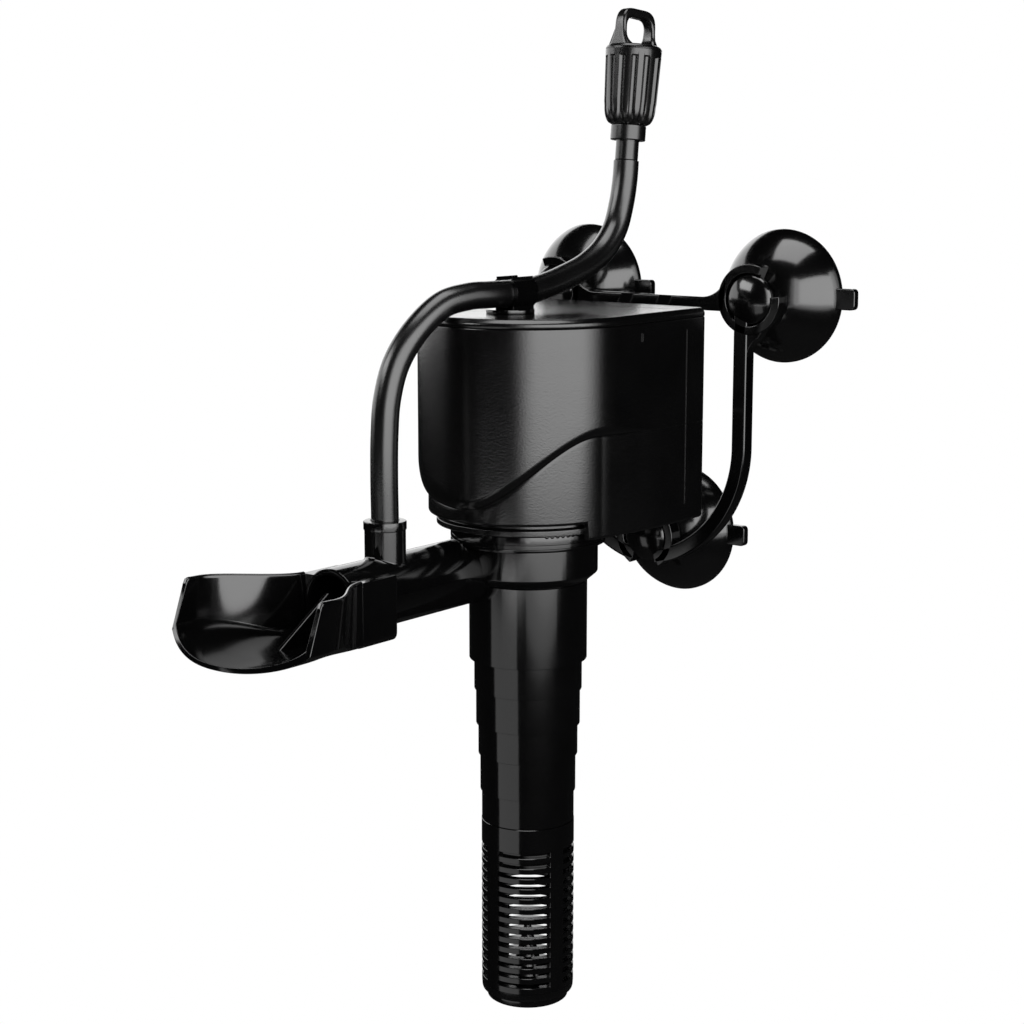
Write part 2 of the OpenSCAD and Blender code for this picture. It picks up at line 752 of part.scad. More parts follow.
module strainer() {
    bore_r = strainer_r - strainer_wall;
    color("#0b0b0c") difference() {
        union() {
            rotate_extrude() polygon([
                [0, 0], [foot_r, 0], [foot_r + 0.1, 0.9], [strainer_r - 0.35, foot_band],
                [strainer_r, foot_band + 2.3], [strainer_r, strainer_h],
                [bore_r, strainer_h], [bore_r, 1.6], [0, 1.6]]);
            // Cone that spreads the flow over the slots
            translate([0, 0, 1])
                cylinder(r1 = guard_low_r, r2 = guard_top_r, h = guard_h);
        }
        for (row = [0:slot_rows - 1])
            translate([0, 0, slot_start + row * slot_pitch])
                linear_extrude(slot_h) difference() {
                    circle(strainer_r + 1);
                    circle(bore_r - 0.6);
                    for (turn = [0, 90]) rotate(rib_turn + turn)
                        square([4 * strainer_r, slot_rib], center = true);
                }
        // Openings in the foot, outside the cone
        for (turn = [0:45:315]) rotate([0, 0, turn])
            translate([9.1, 0, -1]) cylinder(r = 1.7, h = 4, $fn = 24);
    }
}

// -------------------------------------------------------------- deflector

flare_z = -sleeve_r;
flare_stations = 12;
arc_points = 16;
sleeve_corner = 2.6;

function ease(t) = t * t * (3 - 2 * t);

// Half width of the flare's outside at a share t of its length
function flare_half(t) = sleeve_r + (scoop_half - sleeve_r) * ease(min(1, t * 1.2));

// One point of the flare's cross-section, in the pipe's frame.  Side runs
// from -1 to 1; inset is 0 outside and the wall's thickness inside.
function floor_point(t, side, inset) =
    let (half = flare_half(t) - inset,
        blend = ease(min(1, t * 1.3)),
        lift = floor_rise + corner_lift * pow(abs(side), 2.4))
    [half * side, -t * (flare_len + lip_bulge * (1 - side * side)),
        flare_z + inset + blend * lift + sleeve_corner / 2 * pow(side, 10)];

function wall_point(t, side, inset) =
    [side * (flare_half(t) - inset), -t * (flare_len - scoop_rake),
        sleeve_top + (scoop_top - sleeve_top) * ease(t)];

function flare_path(t, inset) = concat(
    [wall_point(t, -1, inset)],
    [for (i = [0:arc_points]) floor_point(t, sin(-90 + 180 * i / arc_points), inset)],
    [wall_point(t, 1, inset)]);

function flare_ring(t) = let (inside = flare_path(t, scoop_wall))
    concat(flare_path(t, 0), [for (i = [len(inside) - 1:-1:0]) inside[i]]);

module flare() {
    rings = [for (k = [0:flare_stations]) flare_ring(k / flare_stations)];
    n = len(rings[0]);
    half = n / 2;
    points = [for (r = rings, p = r) p];
    // Sides are split into triangles because the rings aren't flat
    sides = [for (k = [0:flare_stations - 1], j = [0:n - 1])
        let (a = k * n + j, b = k * n + (j + 1) % n)
        each [[b, a, b + n], [b + n, a, a + n]]];
    last = flare_stations * n;
    caps = [for (j = [0:half - 2]) each [
        [j, j + 1, n - 1 - j], [n - 1 - j, j + 1, n - 2 - j],
        [last + j + 1, last + j, last + n - 1 - j],
        [last + n - 2 - j, last + j + 1, last + n - 1 - j]]];
    polyhedron(points, concat(sides, caps));
}

module sleeve_plan() {
    corner = sleeve_r - sleeve_corner;
    translate([-corner, flare_z]) square([2 * corner, sleeve_top - flare_z]);
    translate([-sleeve_r, flare_z + sleeve_corner])
        square([2 * sleeve_r, sleeve_top - flare_z - sleeve_corner]);
    for (side = [-1, 1]) translate([side * corner, flare_z + sleeve_corner])
        circle(sleeve_corner);
}

module deflector() {
    sleeve_y = -pipe_reach + 0.6;
    color("#0c0c0d") translate([pipe_x, 0, pipe_z]) {
        // Square-bottomed sleeve that turns on the pipe, open at its top
        difference() {
            translate([0, sleeve_y + sleeve_len, 0]) rotate([90, 0, 0])
                linear_extrude(sleeve_len) sleeve_plan();
            translate([0, sleeve_y - 1, 0]) along_y()
                cylinder(r = sleeve_bore_r, h = sleeve_len + 2);
        }
        translate([0, sleeve_y + eps, 0]) flare();
        // Fin that splits the stream
        translate([-0.6, sleeve_y - 1, flare_z + 0.7]) rotate([90, 0, 90])
            linear_extrude(1.2) polygon([[0, 0], [0, fin_h], [-fin_len, 1.6], [-fin_len, 0]]);
    }
}

// -------------------------------------------------------- hose, regulator

function unit(v) = v / norm(v);

// Point of a smooth curve through four route points
function curve(a, b, c, d, t) = 0.5 * (2 * b + (c - a) * t
    + (2 * a - 5 * b + 4 * c - d) * t * t + (3 * b - a - 3 * c + d) * t * t * t);

function smooth(route, steps) = let (last = len(route) - 1)
    concat([for (i = [0:last - 1], s = [0:steps - 1])
        curve(route[max(i - 1, 0)], route[i], route[i + 1], route[min(i + 2, last)], s / steps)],
        [route[last]]);

// Rings of points round a path; the side vector stays near +X
function tube_ring(path, i, r, sides) =
    let (last = len(path) - 1,
        dir = unit(path[min(i + 1, last)] - path[max(i - 1, 0)]),
        over = unit(cross(dir, [1, 0, 0])),
        side = cross(over, dir))
    [for (k = [0:sides - 1]) let (a = 360 * k / sides)
        path[i] + r * (cos(a) * side + sin(a) * over)];

module tube(path, r, bore_r, sides) {
    count = len(path);
    points = concat(
        [for (i = [0:count - 1]) each tube_ring(path, i, r, sides)],
        [for (i = [0:count - 1]) each tube_ring(path, i, bore_r, sides)]);
    inner = count * sides;
    end = (count - 1) * sides;
    walls = [for (i = [0:count - 2], k = [0:sides - 1])
        let (a = i * sides + k, b = i * sides + (k + 1) % sides)
        each [[a, b, b + sides], [a, b + sides, a + sides],
            [inner + b, inner + a, inner + a + sides],
            [inner + b, inner + a + sides, inner + b + sides]]];
    ends = [for (k = [0:sides - 1]) let (m = (k + 1) % sides)
        each [[m, k, inner + k], [m, inner + k, inner + m],
            [end + k, end + m, inner + end + m], [end + k, inner + end + m, inner + end + k]]];
    polyhedron(points, concat(walls, ends));
}

module air_hose() {
    color("#141415") tube(smooth(hose_route, route_steps), hose_r, hose_bore_r, hose_sides);
}

module at_knob() {
    translate(knob_base) rotate([-knob_lean, 0, 0]) children();
}

module regulator_body() {
    color("#121213") at_knob() difference() {
        union() {
            translate([0, 0, -plug_len]) cylinder(r = hose_bore_r - 0.15, h = plug_len + 1);
            cylinder(r = stub_r, h = stub_len);
            translate([0, 0, stub_len - 1.2]) cylinder(r = valve_r, h = valve_len);
            translate([0, 0, stub_len]) cylinder(r = 3.2, h = valve_stem_len);
        }
        translate([0, 0, -plug_len - 1])
            cylinder(r = 1.2, h = plug_len + stub_len + valve_stem_len + 2);
    }
}

module loop_plan(w, h, r) {
    translate([-w / 2, 0]) square([w, h - r]);
    translate([-w / 2 + r, 0]) square([w - 2 * r, h]);
    for (side = [-1, 1]) translate([side * (w / 2 - r), h - r]) circle(r, $fn = 32);
}

module regulator_knob() {
    z0 = stub_len - 1.2 + valve_len + 0.15;
    hole_w = loop_w - 2 * loop_bar;
    hole_h = loop_h - loop_bar - 1.6;
    barrel_z = z0 + knob_taper;
    color("#161617") at_knob() difference() {
        union() {
            translate([0, 0, z0]) cylinder(r1 = valve_r + 0.1, r2 = knob_low_r, h = knob_taper);
            translate([0, 0, barrel_z]) cylinder(r1 = knob_low_r, r2 = knob_top_r, h = knob_h);
            translate([0, 0, barrel_z + knob_h])
                cylinder(r1 = knob_top_r, r2 = knob_top_r - 0.7, h = 0.8);
            difference() {
                translate([-loop_t / 2, 0, barrel_z + knob_h]) rotate([90, 0, 90])
                    linear_extrude(loop_t) loop_plan(loop_w, loop_h, 3.2);
                translate([-loop_t, 0, barrel_z + knob_h + 1.6]) rotate([90, 0, 90])
                    linear_extrude(2 * loop_t) {
                        translate([-hole_w / 2, 1.5]) square([hole_w, hole_h - 1.5]);
                        translate([-hole_w / 2 + 1.5, 0]) square([hole_w - 3, hole_h]);
                        for (side = [-1, 1])
                            translate([side * (hole_w / 2 - 1.5), 1.5]) circle(1.5, $fn = 24);
                    }
            }
        }
        // Flutes
        for (i = [0:flutes - 1]) rotate([0, 0, 360 * i / flutes])
            translate([knob_low_r + 0.55, 0, barrel_z + 0.6])
                rotate([0, atan((knob_top_r - knob_low_r) / knob_h), 0])
                    cylinder(r = flute_r, h = knob_h - 3, $fn = 16);
        // Bore that turns on the valve stem
        translate([0, 0, z0 - 1])
            cylinder(r = 3.2 + turn_gap, h = stub_len + valve_stem_len + 2.15 - z0);
    }
}

// ---------------------------------------------------------------- bracket

// Everything below is drawn in the wall's plane, X to the right and Z up

module ring_plan(place) {
    translate([place[0], place[1]]) circle(ring_r);
}

module arm_plan() {
    // Straight length
    translate([arm_x - arm_w / 2, arm_bend_z]) square([arm_w, cup_top_z - arm_bend_z - 4]);
    // Bend down to the lower ring
    intersection() {
        translate([arm_bend_x, arm_bend_z]) difference() {
            circle(arm_bend_r + arm_w / 2);
            circle(arm_bend_r - arm_w / 2);
        }
        translate([0, 0]) square([arm_x + arm_w, arm_bend_z]);
    }
}

// Widened root where the bar runs into an upper ring
module bar_root() {
    root = 9;
    root_h = 5.6;
    root_x = cup_half_span - ring_r - root + 3;
    difference() {
        translate([root_x, bar_base]) square([root, bar_top - bar_base + root_h]);
        translate([root_x, bar_top + root]) circle(root);
    }
}

module bracket_plan() {
    translate([-cup_half_span, bar_base]) square([2 * cup_half_span, bar_top - bar_base]);
    for (side = [0, 1]) mirror([side, 0]) {
        arm_plan();
        bar_root();
    }
    for (place = cup_places) ring_plan(place);
}

module mouth_plan(place) {
    reach = 2 * ring_r;
    half = mouth_turn / 2;
    mid = place[0] < 0 ? 180 - 37 : place[2];
    translate([place[0], place[1]]) polygon([[0, 0],
        [reach * cos(mid - half), reach * sin(mid - half)],
        [reach * cos(mid + half), reach * sin(mid + half)]]);
}

module in_wall_plane(y, depth) {
    translate([0, y + depth, 0]) rotate([90, 0, 0]) linear_extrude(depth) children();
}

module rail() {
    low = bar_base - rail_len;
    head_top = slot_top - turn_gap;
    translate([-rail_w / 2, rail_front, low])
        cube([rail_w, ring_y - rail_front + 1, bar_top - low]);
    translate([-rail_web / 2, rail_head_y, low])
        cube([rail_web, rail_front - rail_head_y + 1, head_top - low]);
    translate([-rail_w / 2, rail_head_y, low]) cube([rail_w, rail_head_t, head_top - low]);
}

module bracket() {
    color("#0a0a0b") {
        difference() {
            in_wall_plane(ring_y, bracket_t) bracket_plan();
            for (place = cup_places) {
                in_wall_plane(ring_y - 1, bracket_t + 2) {
                    mouth_plan(place);
                }
                translate([place[0], ring_y - 1, place[1]]) along_y()
                    cylinder(r = ring_hole_r, h = bracket_t + 2);
                translate([place[0], ring_y - 1, place[1]]) along_y()
                    cylinder(r = recess_r, h = head_seat - ring_y + 1);
            }
        }
        for (side = [-1, 1]) translate([side * rail_x, 0, 0]) rail();
    }
}

// ----------------------------------------------------------- suction cups

// Radius of the ball whose cap rises so high over a circle of radius half
function ball_r(rise, half) = (half * half + rise * rise) / (2 * rise);

// Points along a cap of a ball, from its top at a height to its edge
function cap_line(rise, half, height, steps) =
    let (ball = ball_r(rise, half), reach = asin(half / ball))
    [for (i = [0:steps]) let (a = reach * i / steps)
        [ball * sin(a), height + ball * (1 - cos(a))]];

module cup(place) {
    rim = 1.0;
    lip = 1.2;
    hollow_h = cup_h - 3;
    tab_w = 6.3;
    tab_t = 2.6;
    tab_reach = 25.2;
    outer = cap_line(cup_h - rim, cup_r, 0, 14);
    inner = cap_line(hollow_h, cup_r - lip, cup_h - hollow_h, 14);
    color("#0b0b0c") translate([place[0], 0, place[1]]) {
        difference() {
            union() {
                translate([0, wall_y - cup_h, 0]) along_y() rotate_extrude()
                    polygon(concat(outer, [[cup_r, cup_h], [0, cup_h]]));
                // Pull tab
                translate([cup_r - 4, wall_y - tab_t - 0.2, -tab_w / 2])
                    cube([tab_reach - cup_r + 4 - 1.2, tab_t, tab_w]);
                translate([cup_r - 4, wall_y - tab_t - 0.2, -tab_w / 2 + 1.2])
                    cube([tab_reach - cup_r + 4, tab_t, tab_w - 2.4]);
                for (side = [-1, 1])
                    translate([tab_reach - 1.2, wall_y - tab_t - 0.2, side * (tab_w / 2 - 1.2)])
                        along_y() cylinder(r = 1.2, h = tab_t, $fn = 24);
            }
            translate([0, wall_y - cup_h, 0]) along_y() rotate_extrude()
                polygon(concat(inner, [[cup_r - lip, cup_h + 1], [0, cup_h + 1]]));
        }
        // Neck and button head
        translate([0, head_seat - 1, 0]) along_y()
            cylinder(r = neck_pin_r, h = wall_y - cup_h + 1.5 - head_seat + 1);
        head_front = ring_y - 1.6;
        head_back = head_seat - rail_gap;
        head_dome = 14;
        intersection() {
            translate([0, head_front, 0]) along_y()
                cylinder(r = head_r, h = head_back - head_front);
            translate([0, head_front + head_dome, 0]) sphere(head_dome);
        }
    }
}

module cup_upper_left() { cup(cup_places[0]); }

module cup_upper_right() { cup(cup_places[1]); }

module cup_lower() { cup(cup_places[2]); }

motor_housing();
top_lid();
hose_clip();
cord_gland();
potting_slab();
stator_core();
bobbin_left();
bobbin_right();
coil_left();
coil_right();
rotor_can();
upper_bush();
lower_bush();
thrust_washer();
shaft();
rotor_magnet();
impeller();
chamber_seal();
lock_collar();
pump_chamber();
intake_stem();
strainer();
deflector();
air_hose();
regulator_body();
regulator_knob();
bracket();
cup_upper_left();
cup_upper_right();
cup_lower();
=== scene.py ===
"""Scene of a submersible aquarium pump with its bracket, scoop and air hose.

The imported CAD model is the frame.  Each sub-assembly is a class that builds
its visible pieces round that frame, in millimetres, and dresses them.
"""

from __future__ import annotations

import logging
import math
from dataclasses import dataclass
from enum import Enum
from typing import Callable, Sequence

import bmesh
import bpy
from mathutils import Matrix, Vector


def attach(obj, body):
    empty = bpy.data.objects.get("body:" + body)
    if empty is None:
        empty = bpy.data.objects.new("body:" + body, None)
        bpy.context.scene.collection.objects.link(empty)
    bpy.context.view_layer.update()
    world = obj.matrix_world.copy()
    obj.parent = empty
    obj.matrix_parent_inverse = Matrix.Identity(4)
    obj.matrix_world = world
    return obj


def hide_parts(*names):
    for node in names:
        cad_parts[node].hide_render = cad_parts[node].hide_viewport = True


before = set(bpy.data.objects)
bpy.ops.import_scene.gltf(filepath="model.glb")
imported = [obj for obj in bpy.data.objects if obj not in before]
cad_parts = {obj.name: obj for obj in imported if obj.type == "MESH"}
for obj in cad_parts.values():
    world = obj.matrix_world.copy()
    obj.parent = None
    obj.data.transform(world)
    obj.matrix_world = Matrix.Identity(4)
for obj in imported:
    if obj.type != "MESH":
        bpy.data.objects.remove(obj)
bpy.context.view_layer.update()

LOG = logging.getLogger("pump_scene")
MM = 0.001
TURN = 2 * math.pi
WELD = 0.001
RIM_TURN = math.radians(60)

Shape = bmesh.types.BMesh
Tree = bpy.types.NodeTree
Socket = bpy.types.NodeSocket
Point = tuple[float, float]
Spot = tuple[float, float, float]
Line = list[Point]
Place = Callable[[float, float], Sequence[float]]


# ---------------------------------------------------------------- outlines


def softened(points: Sequence[Point], radius: float, arc: int = 4,
             closed: bool = False) -> Line:
    """Rounds the corners of an outline.

    Args:
        points: Corners of the outline.
        radius: How far from each corner its curve starts.
        arc: Steps along each curve.
        closed: Whether the last corner runs back to the first.

    Returns:
        The outline's points with curved corners.
    """
    count = len(points)
    line: Line = []
    for i, corner in enumerate(points):
        if not closed and i in (0, count - 1):
            line.append(corner)
            continue
        here = Vector(corner)
        before = Vector(points[i - 1]) - here
        after = Vector(points[(i + 1) % count]) - here
        start = here + before.normalized() * min(radius, before.length * 0.45)
        end = here + after.normalized() * min(radius, after.length * 0.45)
        for k in range(arc + 1):
            t = k / arc
            spot = start * (1 - t) ** 2 + here * (2 * t * (1 - t)) + end * t * t
            line.append((spot.x, spot.y))
    return line


def arc_line(centre: Point, radius: float, start: float, end: float, steps: int) -> Line:
    """Points along a circular arc.

    Args:
        centre: Centre of the arc.
        radius: Radius of the arc.
        start: First angle in degrees.
        end: Last angle in degrees.
        steps: Number of steps.

    Returns:
        The arc's points, both ends included.
    """
    turns = [math.radians(start + (end - start) * i / steps) for i in range(steps + 1)]
    return [(centre[0] + radius * math.cos(a), centre[1] + radius * math.sin(a))
            for a in turns]


def eased(t: float) -> float:
    """Smooth step from 0 to 1."""
    return t * t * (3 - 2 * t)


# ------------------------------------------------------------------ shapes


def faced(shape: Shape) -> Shape:
    """Turns a shape's faces outwards."""
    bmesh.ops.recalc_face_normals(shape, faces=shape.faces)
    return shape


def welded(shape: Shape) -> Shape:
    """Welds a shape's doubled points and drops its empty faces."""
    bmesh.ops.remove_doubles(shape, verts=shape.verts, dist=WELD)
    bmesh.ops.dissolve_degenerate(shape, dist=WELD, edges=shape.edges)
    return shape


def cleaned(shape: Shape) -> Shape:
    """Welds a shape's doubled points, closes its holes and turns it outwards.

    Args:
        shape: The shape.

    Returns:
        The same shape, with its faces outward.
    """
    welded(shape)
    bmesh.ops.holes_fill(shape, edges=shape.edges, sides=0)
    return faced(shape)


def rounded(shape: Shape, edges: Sequence[bmesh.types.BMEdge], soft: float,
            segments: int) -> None:
    """Rounds some of a shape's edges.

    Args:
        shape: The shape.
        edges: The edges to round.
        soft: Width of the rounding.
        segments: Steps across the rounding.
    """
    bmesh.ops.bevel(shape, geom=list(edges), offset=soft, offset_type="OFFSET",
                    segments=segments, profile=0.5, affect="EDGES", material=-1,
                    clamp_overlap=True)


def turned(profile: Sequence[Point], steps: int = 96) -> Shape:
    """Turns a profile round Z, as on a lathe.

    Args:
        profile: Points of radius and height; a closed loop repeats its first.
        steps: Steps round the axis.

    Returns:
        The turned shape.
    """
    shape = bmesh.new()
    spots = [shape.verts.new((r, 0, z)) for r, z in profile]
    edges = [shape.edges.new(pair) for pair in zip(spots, spots[1:])]
    bmesh.ops.spin(shape, geom=spots + edges, cent=(0, 0, 0), axis=(0, 0, 1),
                   dvec=(0, 0, 0), angle=TURN, steps=steps, use_merge=True)
    return cleaned(shape)


def looped(profile: Sequence[Point], soft: float, steps: int = 96) -> Shape:
    """Turns a closed profile with softened corners round Z."""
    line = softened(profile, soft, 3, closed=True)
    return turned(line + line[:1], steps)


def draped(columns: int, rows: int, place: Place) -> Shape:
    """Bends a grid into a surface.

    Args:
        columns: Steps across, along u.
        rows: Steps down, along v.
        place: Gives the point in millimetres for u and v from 0 to 1.

    Returns:
        The bent surface, welded where its edges meet.
    """
    shape = bmesh.new()
    bmesh.ops.create_grid(shape, x_segments=columns, y_segments=rows, size=1)
    for vert in shape.verts:
        vert.co = Vector(place((vert.co.x + 1) / 2, (vert.co.y + 1) / 2))
    return faced(welded(shape))


def slab(outline: Sequence[Point], low: float, high: float, soft: float = 0.0,
         holes: Sequence[Sequence[Point]] = (), segments: int = 2) -> Shape:
    """Extrudes an outline along Z and softens its rims.

    Args:
        outline: Outline in X and Y.
        low: Height of the underside.
        high: Height of the top.
        soft: Width of the rounding along the rims.
        holes: Outlines of holes.
        segments: Steps across the rounding.

    Returns:
        The extruded shape.
    """
    shape = bmesh.new()
    edges = []
    for line in (outline, *holes):
        spots = [shape.verts.new((x, y, low)) for x, y in line]
        edges += [shape.edges.new(pair) for pair in zip(spots, spots[1:] + spots[:1])]
    if holes:
        bmesh.ops.triangle_fill(shape, edges=edges, use_beauty=True)
    else:
        bmesh.ops.holes_fill(shape, edges=edges, sides=0)
    grown = bmesh.ops.extrude_face_region(shape, geom=list(shape.faces))["geom"]
    tops = [g for g in grown if isinstance(g, bmesh.types.BMVert)]
    bmesh.ops.translate(shape, verts=tops, vec=(0, 0, high - low))
    faced(shape)
    if soft > 0:
        rims = [e for e in shape.edges if len(e.link_faces) == 2
                and e.calc_face_angle(0) > RIM_TURN]
        rounded(shape, rims, soft, segments)
    return shape


def block(size: Sequence[float], centre: Sequence[float], soft: float = 0.2,
          segments: int = 2) -> Shape:
    """Makes a box with rounded edges.

    Args:
        size: Width, depth and height.
        centre: Place of its centre.
        soft: Width of the rounding.
        segments: Steps across the rounding.

    Returns:
        The box.
    """
    shape = bmesh.new()
    bmesh.ops.create_cube(shape, size=1)
    bmesh.ops.scale(shape, vec=size, verts=shape.verts)
    rounded(shape, shape.edges, soft, segments)
    bmesh.ops.translate(shape, verts=shape.verts, vec=centre)
    return shape


def moved(shape: Shape, *moves: Matrix) -> Shape:
    """Moves a shape by each matrix in turn."""
    for move in moves:
        bmesh.ops.transform(shape, matrix=move.to_4x4(), verts=shape.verts)
    return shape


def shifted(x: float = 0.0, y: float = 0.0, z: float = 0.0) -> Matrix:
    """Matrix of a plain move."""
    return Matrix.Translation((x, y, z))


def spun(degrees: float, axis: str = "Z") -> Matrix:
    """Matrix of a turn about one axis."""
    return Matrix.Rotation(math.radians(degrees), 4, axis)


ALONG_Y = spun(-90, "X")
IN_WALL_PLANE = Matrix(((1, 0, 0, 0), (0, 0, 1, 0), (0, 1, 0, 0), (0, 0, 0, 1)))
SIDEWAYS = Matrix(((0, 0, 1, 0), (1, 0, 0, 0), (0, 1, 0, 0), (0, 0, 0, 1)))
FORWARDS = Matrix(((0, 0, 1, 0), (-1, 0, 0, 0), (0, 1, 0, 0), (0, 0, 0, 1)))


def walled(shape: Shape, y: float = 0.0) -> Shape:
    """Stands a shape that was drawn flat in the wall's plane.

    Args:
        shape: The shape.
        y: Depth that its underside comes to.

    Returns:
        The same shape.
    """
    return faced(moved(shape, IN_WALL_PLANE, shifted(y=y)))


def merged(*shapes: Shape) -> Shape:
    """Puts several shapes into the first one.

    Args:
        shapes: The shapes, of which all but the first are used up.

    Returns:
        The first shape with the others in it.
    """
    whole = shapes[0]
    for shape in shapes[1:]:
        mesh = bpy.data.meshes.new("passing")
        shape.to_mesh(mesh)
        shape.free()
        whole.from_mesh(mesh)
        bpy.data.meshes.remove(mesh)
    return whole


def smooth_route(points: Sequence[Sequence[float]], steps: int) -> list[Vector]:
    """Runs a smooth curve through the points of a route.

    Args:
        points: Points of the route.
        steps: Steps between two points.

    Returns:
        Points along the curve.
    """
    spots = [Vector(p) for p in points]
    last = len(spots) - 1
    line = []
    for i in range(last):
        a, b = spots[max(i - 1, 0)], spots[i]
        c, d = spots[i + 1], spots[min(i + 2, last)]
        for k in range(steps):
            t = k / steps
            line.append(0.5 * (2 * b + (c - a) * t + (2 * a - 5 * b + 4 * c - d) * t * t
                               + (3 * b - a - 3 * c + d) * t ** 3))
    line.append(spots[last])
    return line


def placed(name: str, data: bpy.types.ID) -> bpy.types.Object:
    """Makes an object of a mesh, a lamp or a camera.

    Args:
        name: The object's name.
        data: What it holds.

    Returns:
        The object, in the scene.
    """
    holder = bpy.data.objects.new(name, data)
    bpy.context.scene.collection.objects.link(holder)
    return holder


# ---------------------------------------------------------------- finishes


class Effect(Enum):
    """Surface effects that more than one finish uses."""

    GRAIN = "moulded_grain"
    MARKS = "handling_marks"
    DRIFT = "tint_drift"
    BANDS = "laid_bands"


def new_group(effect: Effect, inputs: Sequence[tuple[str, str, float]],
              output: tuple[str, str]) -> tuple[Tree, bpy.types.Node, bpy.types.Node]:
    """Starts the node group of an effect.

    Args:
        effect: The effect.
        inputs: Name, socket type and first value of each input.
        output: Name and socket type of the output.

    Returns:
        The group, its input node and its output node.
    """
    group = bpy.data.node_groups.new(effect.value, "ShaderNodeTree")
    group.interface.new_socket("Vector", in_out="INPUT", socket_type="NodeSocketVector")
    for name, kind, value in inputs:
        socket = group.interface.new_socket(name, in_out="INPUT", socket_type=kind)
        if kind == "NodeSocketFloat":
            socket.default_value = value
    group.interface.new_socket(output[0], in_out="OUTPUT", socket_type=output[1])
    return group, group.nodes.new("NodeGroupInput"), group.nodes.new("NodeGroupOutput")


def feed(tree: Tree, value: object, socket: Socket) -> None:
    """Gives an input a link or a plain value.

    Args:
        tree: Node tree that the input is in.
        value: Socket, number or linear colour.
        socket: The input.
    """
    if isinstance(value, Socket):
        tree.links.new(value, socket)
    else:
        socket.default_value = (*value, 1) if isinstance(value, tuple) else float(value)


def sum_of(tree: Tree, kind: str, *values: object) -> Socket:
    """Adds a Math node.

    Args:
        tree: Node tree that takes the node.
        kind: The node's operation.
        values: Sockets or numbers for its inputs.

    Returns:
        The node's result.
    """
    node = tree.nodes.new("ShaderNodeMath")
    node.operation = kind
    for socket, value in zip(node.inputs, values):
        feed(tree, value, socket)
    return node.outputs[0]


def noise(tree: Tree, vector: Socket, scale: object,
          detail: float, rough: float = 0.55) -> Socket:
    """Adds a noise pattern.

    Args:
        tree: Node tree that takes the node.
        vector: Place to read.
        scale: Socket or number for the pattern's scale.
        detail: Levels of detail.
        rough: Strength of the fine levels.

    Returns:
        The pattern's value.
    """
    node = tree.nodes.new("ShaderNodeTexNoise")
    for name, value in (("Vector", vector), ("Scale", scale), ("Detail", detail),
                        ("Roughness", rough)):
        feed(tree, value, node.inputs[name])
    return node.outputs[0]


def blended(tree: Tree, share: Socket, first: object, second: object) -> Socket:
    """Adds a mix of two colours.

    Args:
        tree: Node tree that takes the node.
        share: How much of the second colour shows.
        first: Socket or linear colour.
        second: Socket or linear colour.

    Returns:
        The mixed colour.
    """
    node = tree.nodes.new("ShaderNodeMix")
    node.data_type = "RGBA"
    for name, value in (("Factor", share), (6, first), (7, second)):
        feed(tree, value, node.inputs[name])
    return node.outputs[2]


def grain_group() -> Tree:
    """Height of a mould's fine grain over its broad waviness.

    Returns:
        The group.
    """
    group, start, end = new_group(
        Effect.GRAIN, [("Scale", "NodeSocketFloat", 2600.0),
                       ("Waviness", "NodeSocketFloat", 0.5)], ("Height", "NodeSocketFloat"))
    fine = noise(group, start.outputs["Vector"], start.outputs["Scale"], 3.0)
    broad = noise(group, start.outputs["Vector"], 95.0, 1.5)
    wavy = sum_of(group, "MULTIPLY", broad, start.outputs["Waviness"])
    group.links.new(sum_of(group, "ADD", fine, wavy), end.inputs[0])
    return group


def marks_group() -> Tree:
    """Roughness with the faint marks that hands and water leave.

    Returns:
        The group.
    """
    group, start, end = new_group(
        Effect.MARKS, [("Base", "NodeSocketFloat", 0.3), ("Spread", "NodeSocketFloat", 0.1)],
        ("Roughness", "NodeSocketFloat"))
    patches = noise(group, start.outputs["Vector"], 38.0, 4.0, 0.62)
    specks = noise(group, start.outputs["Vector"], 900.0, 2.0)
    both = sum_of(group, "MULTIPLY_ADD", specks, 0.35, patches)
    centred = sum_of(group, "SUBTRACT", both, 0.67)
    spread = sum_of(group, "MULTIPLY_ADD", centred, start.outputs["Spread"],
                    start.outputs["Base"])
    group.links.new(sum_of(group, "MAXIMUM", spread, 0.02), end.inputs[0])
    return group


def drift_group() -> Tree:
    """Colour that drifts a little between two near tones.

    Returns:
        The group.
    """
    group, start, end = new_group(
        Effect.DRIFT, [("Tone", "NodeSocketColor", 0.0), ("Other", "NodeSocketColor", 0.0),
                       ("Scale", "NodeSocketFloat", 60.0)], ("Color", "NodeSocketColor"))
    value = noise(group, start.outputs["Vector"], start.outputs["Scale"], 5.0, 0.6)
    spread = group.nodes.new("ShaderNodeMapRange")
    spread.inputs["From Min"].default_value = 0.35
    spread.inputs["From Max"].default_value = 0.65
    group.links.new(value, spread.inputs["Value"])
    tone = blended(group, spread.outputs[0], start.outputs["Tone"],
                   start.outputs["Other"])
    group.links.new(tone, end.inputs[0])
    return group


def bands_group() -> Tree:
    """Mask of narrow rounded bands, such as wire turns or stacked plates.

    Returns:
        The group.
    """
    group, start, end = new_group(
        Effect.BANDS, [("Pitch", "NodeSocketFloat", 0.5)], ("Mask", "NodeSocketFloat"))
    wave = group.nodes.new("ShaderNodeTexWave")
    wave.wave_type = "BANDS"
    wave.bands_direction = "Z"
    wave.inputs["Distortion"].default_value = 0.4
    wave.inputs["Detail Scale"].default_value = 8.0
    group.links.new(start.outputs["Vector"], wave.inputs["Vector"])
    scale = sum_of(group, "DIVIDE", 0.31416 / MM, start.outputs["Pitch"])
    group.links.new(scale, wave.inputs["Scale"])
    group.links.new(wave.outputs["Fac"], end.inputs[0])
    return group


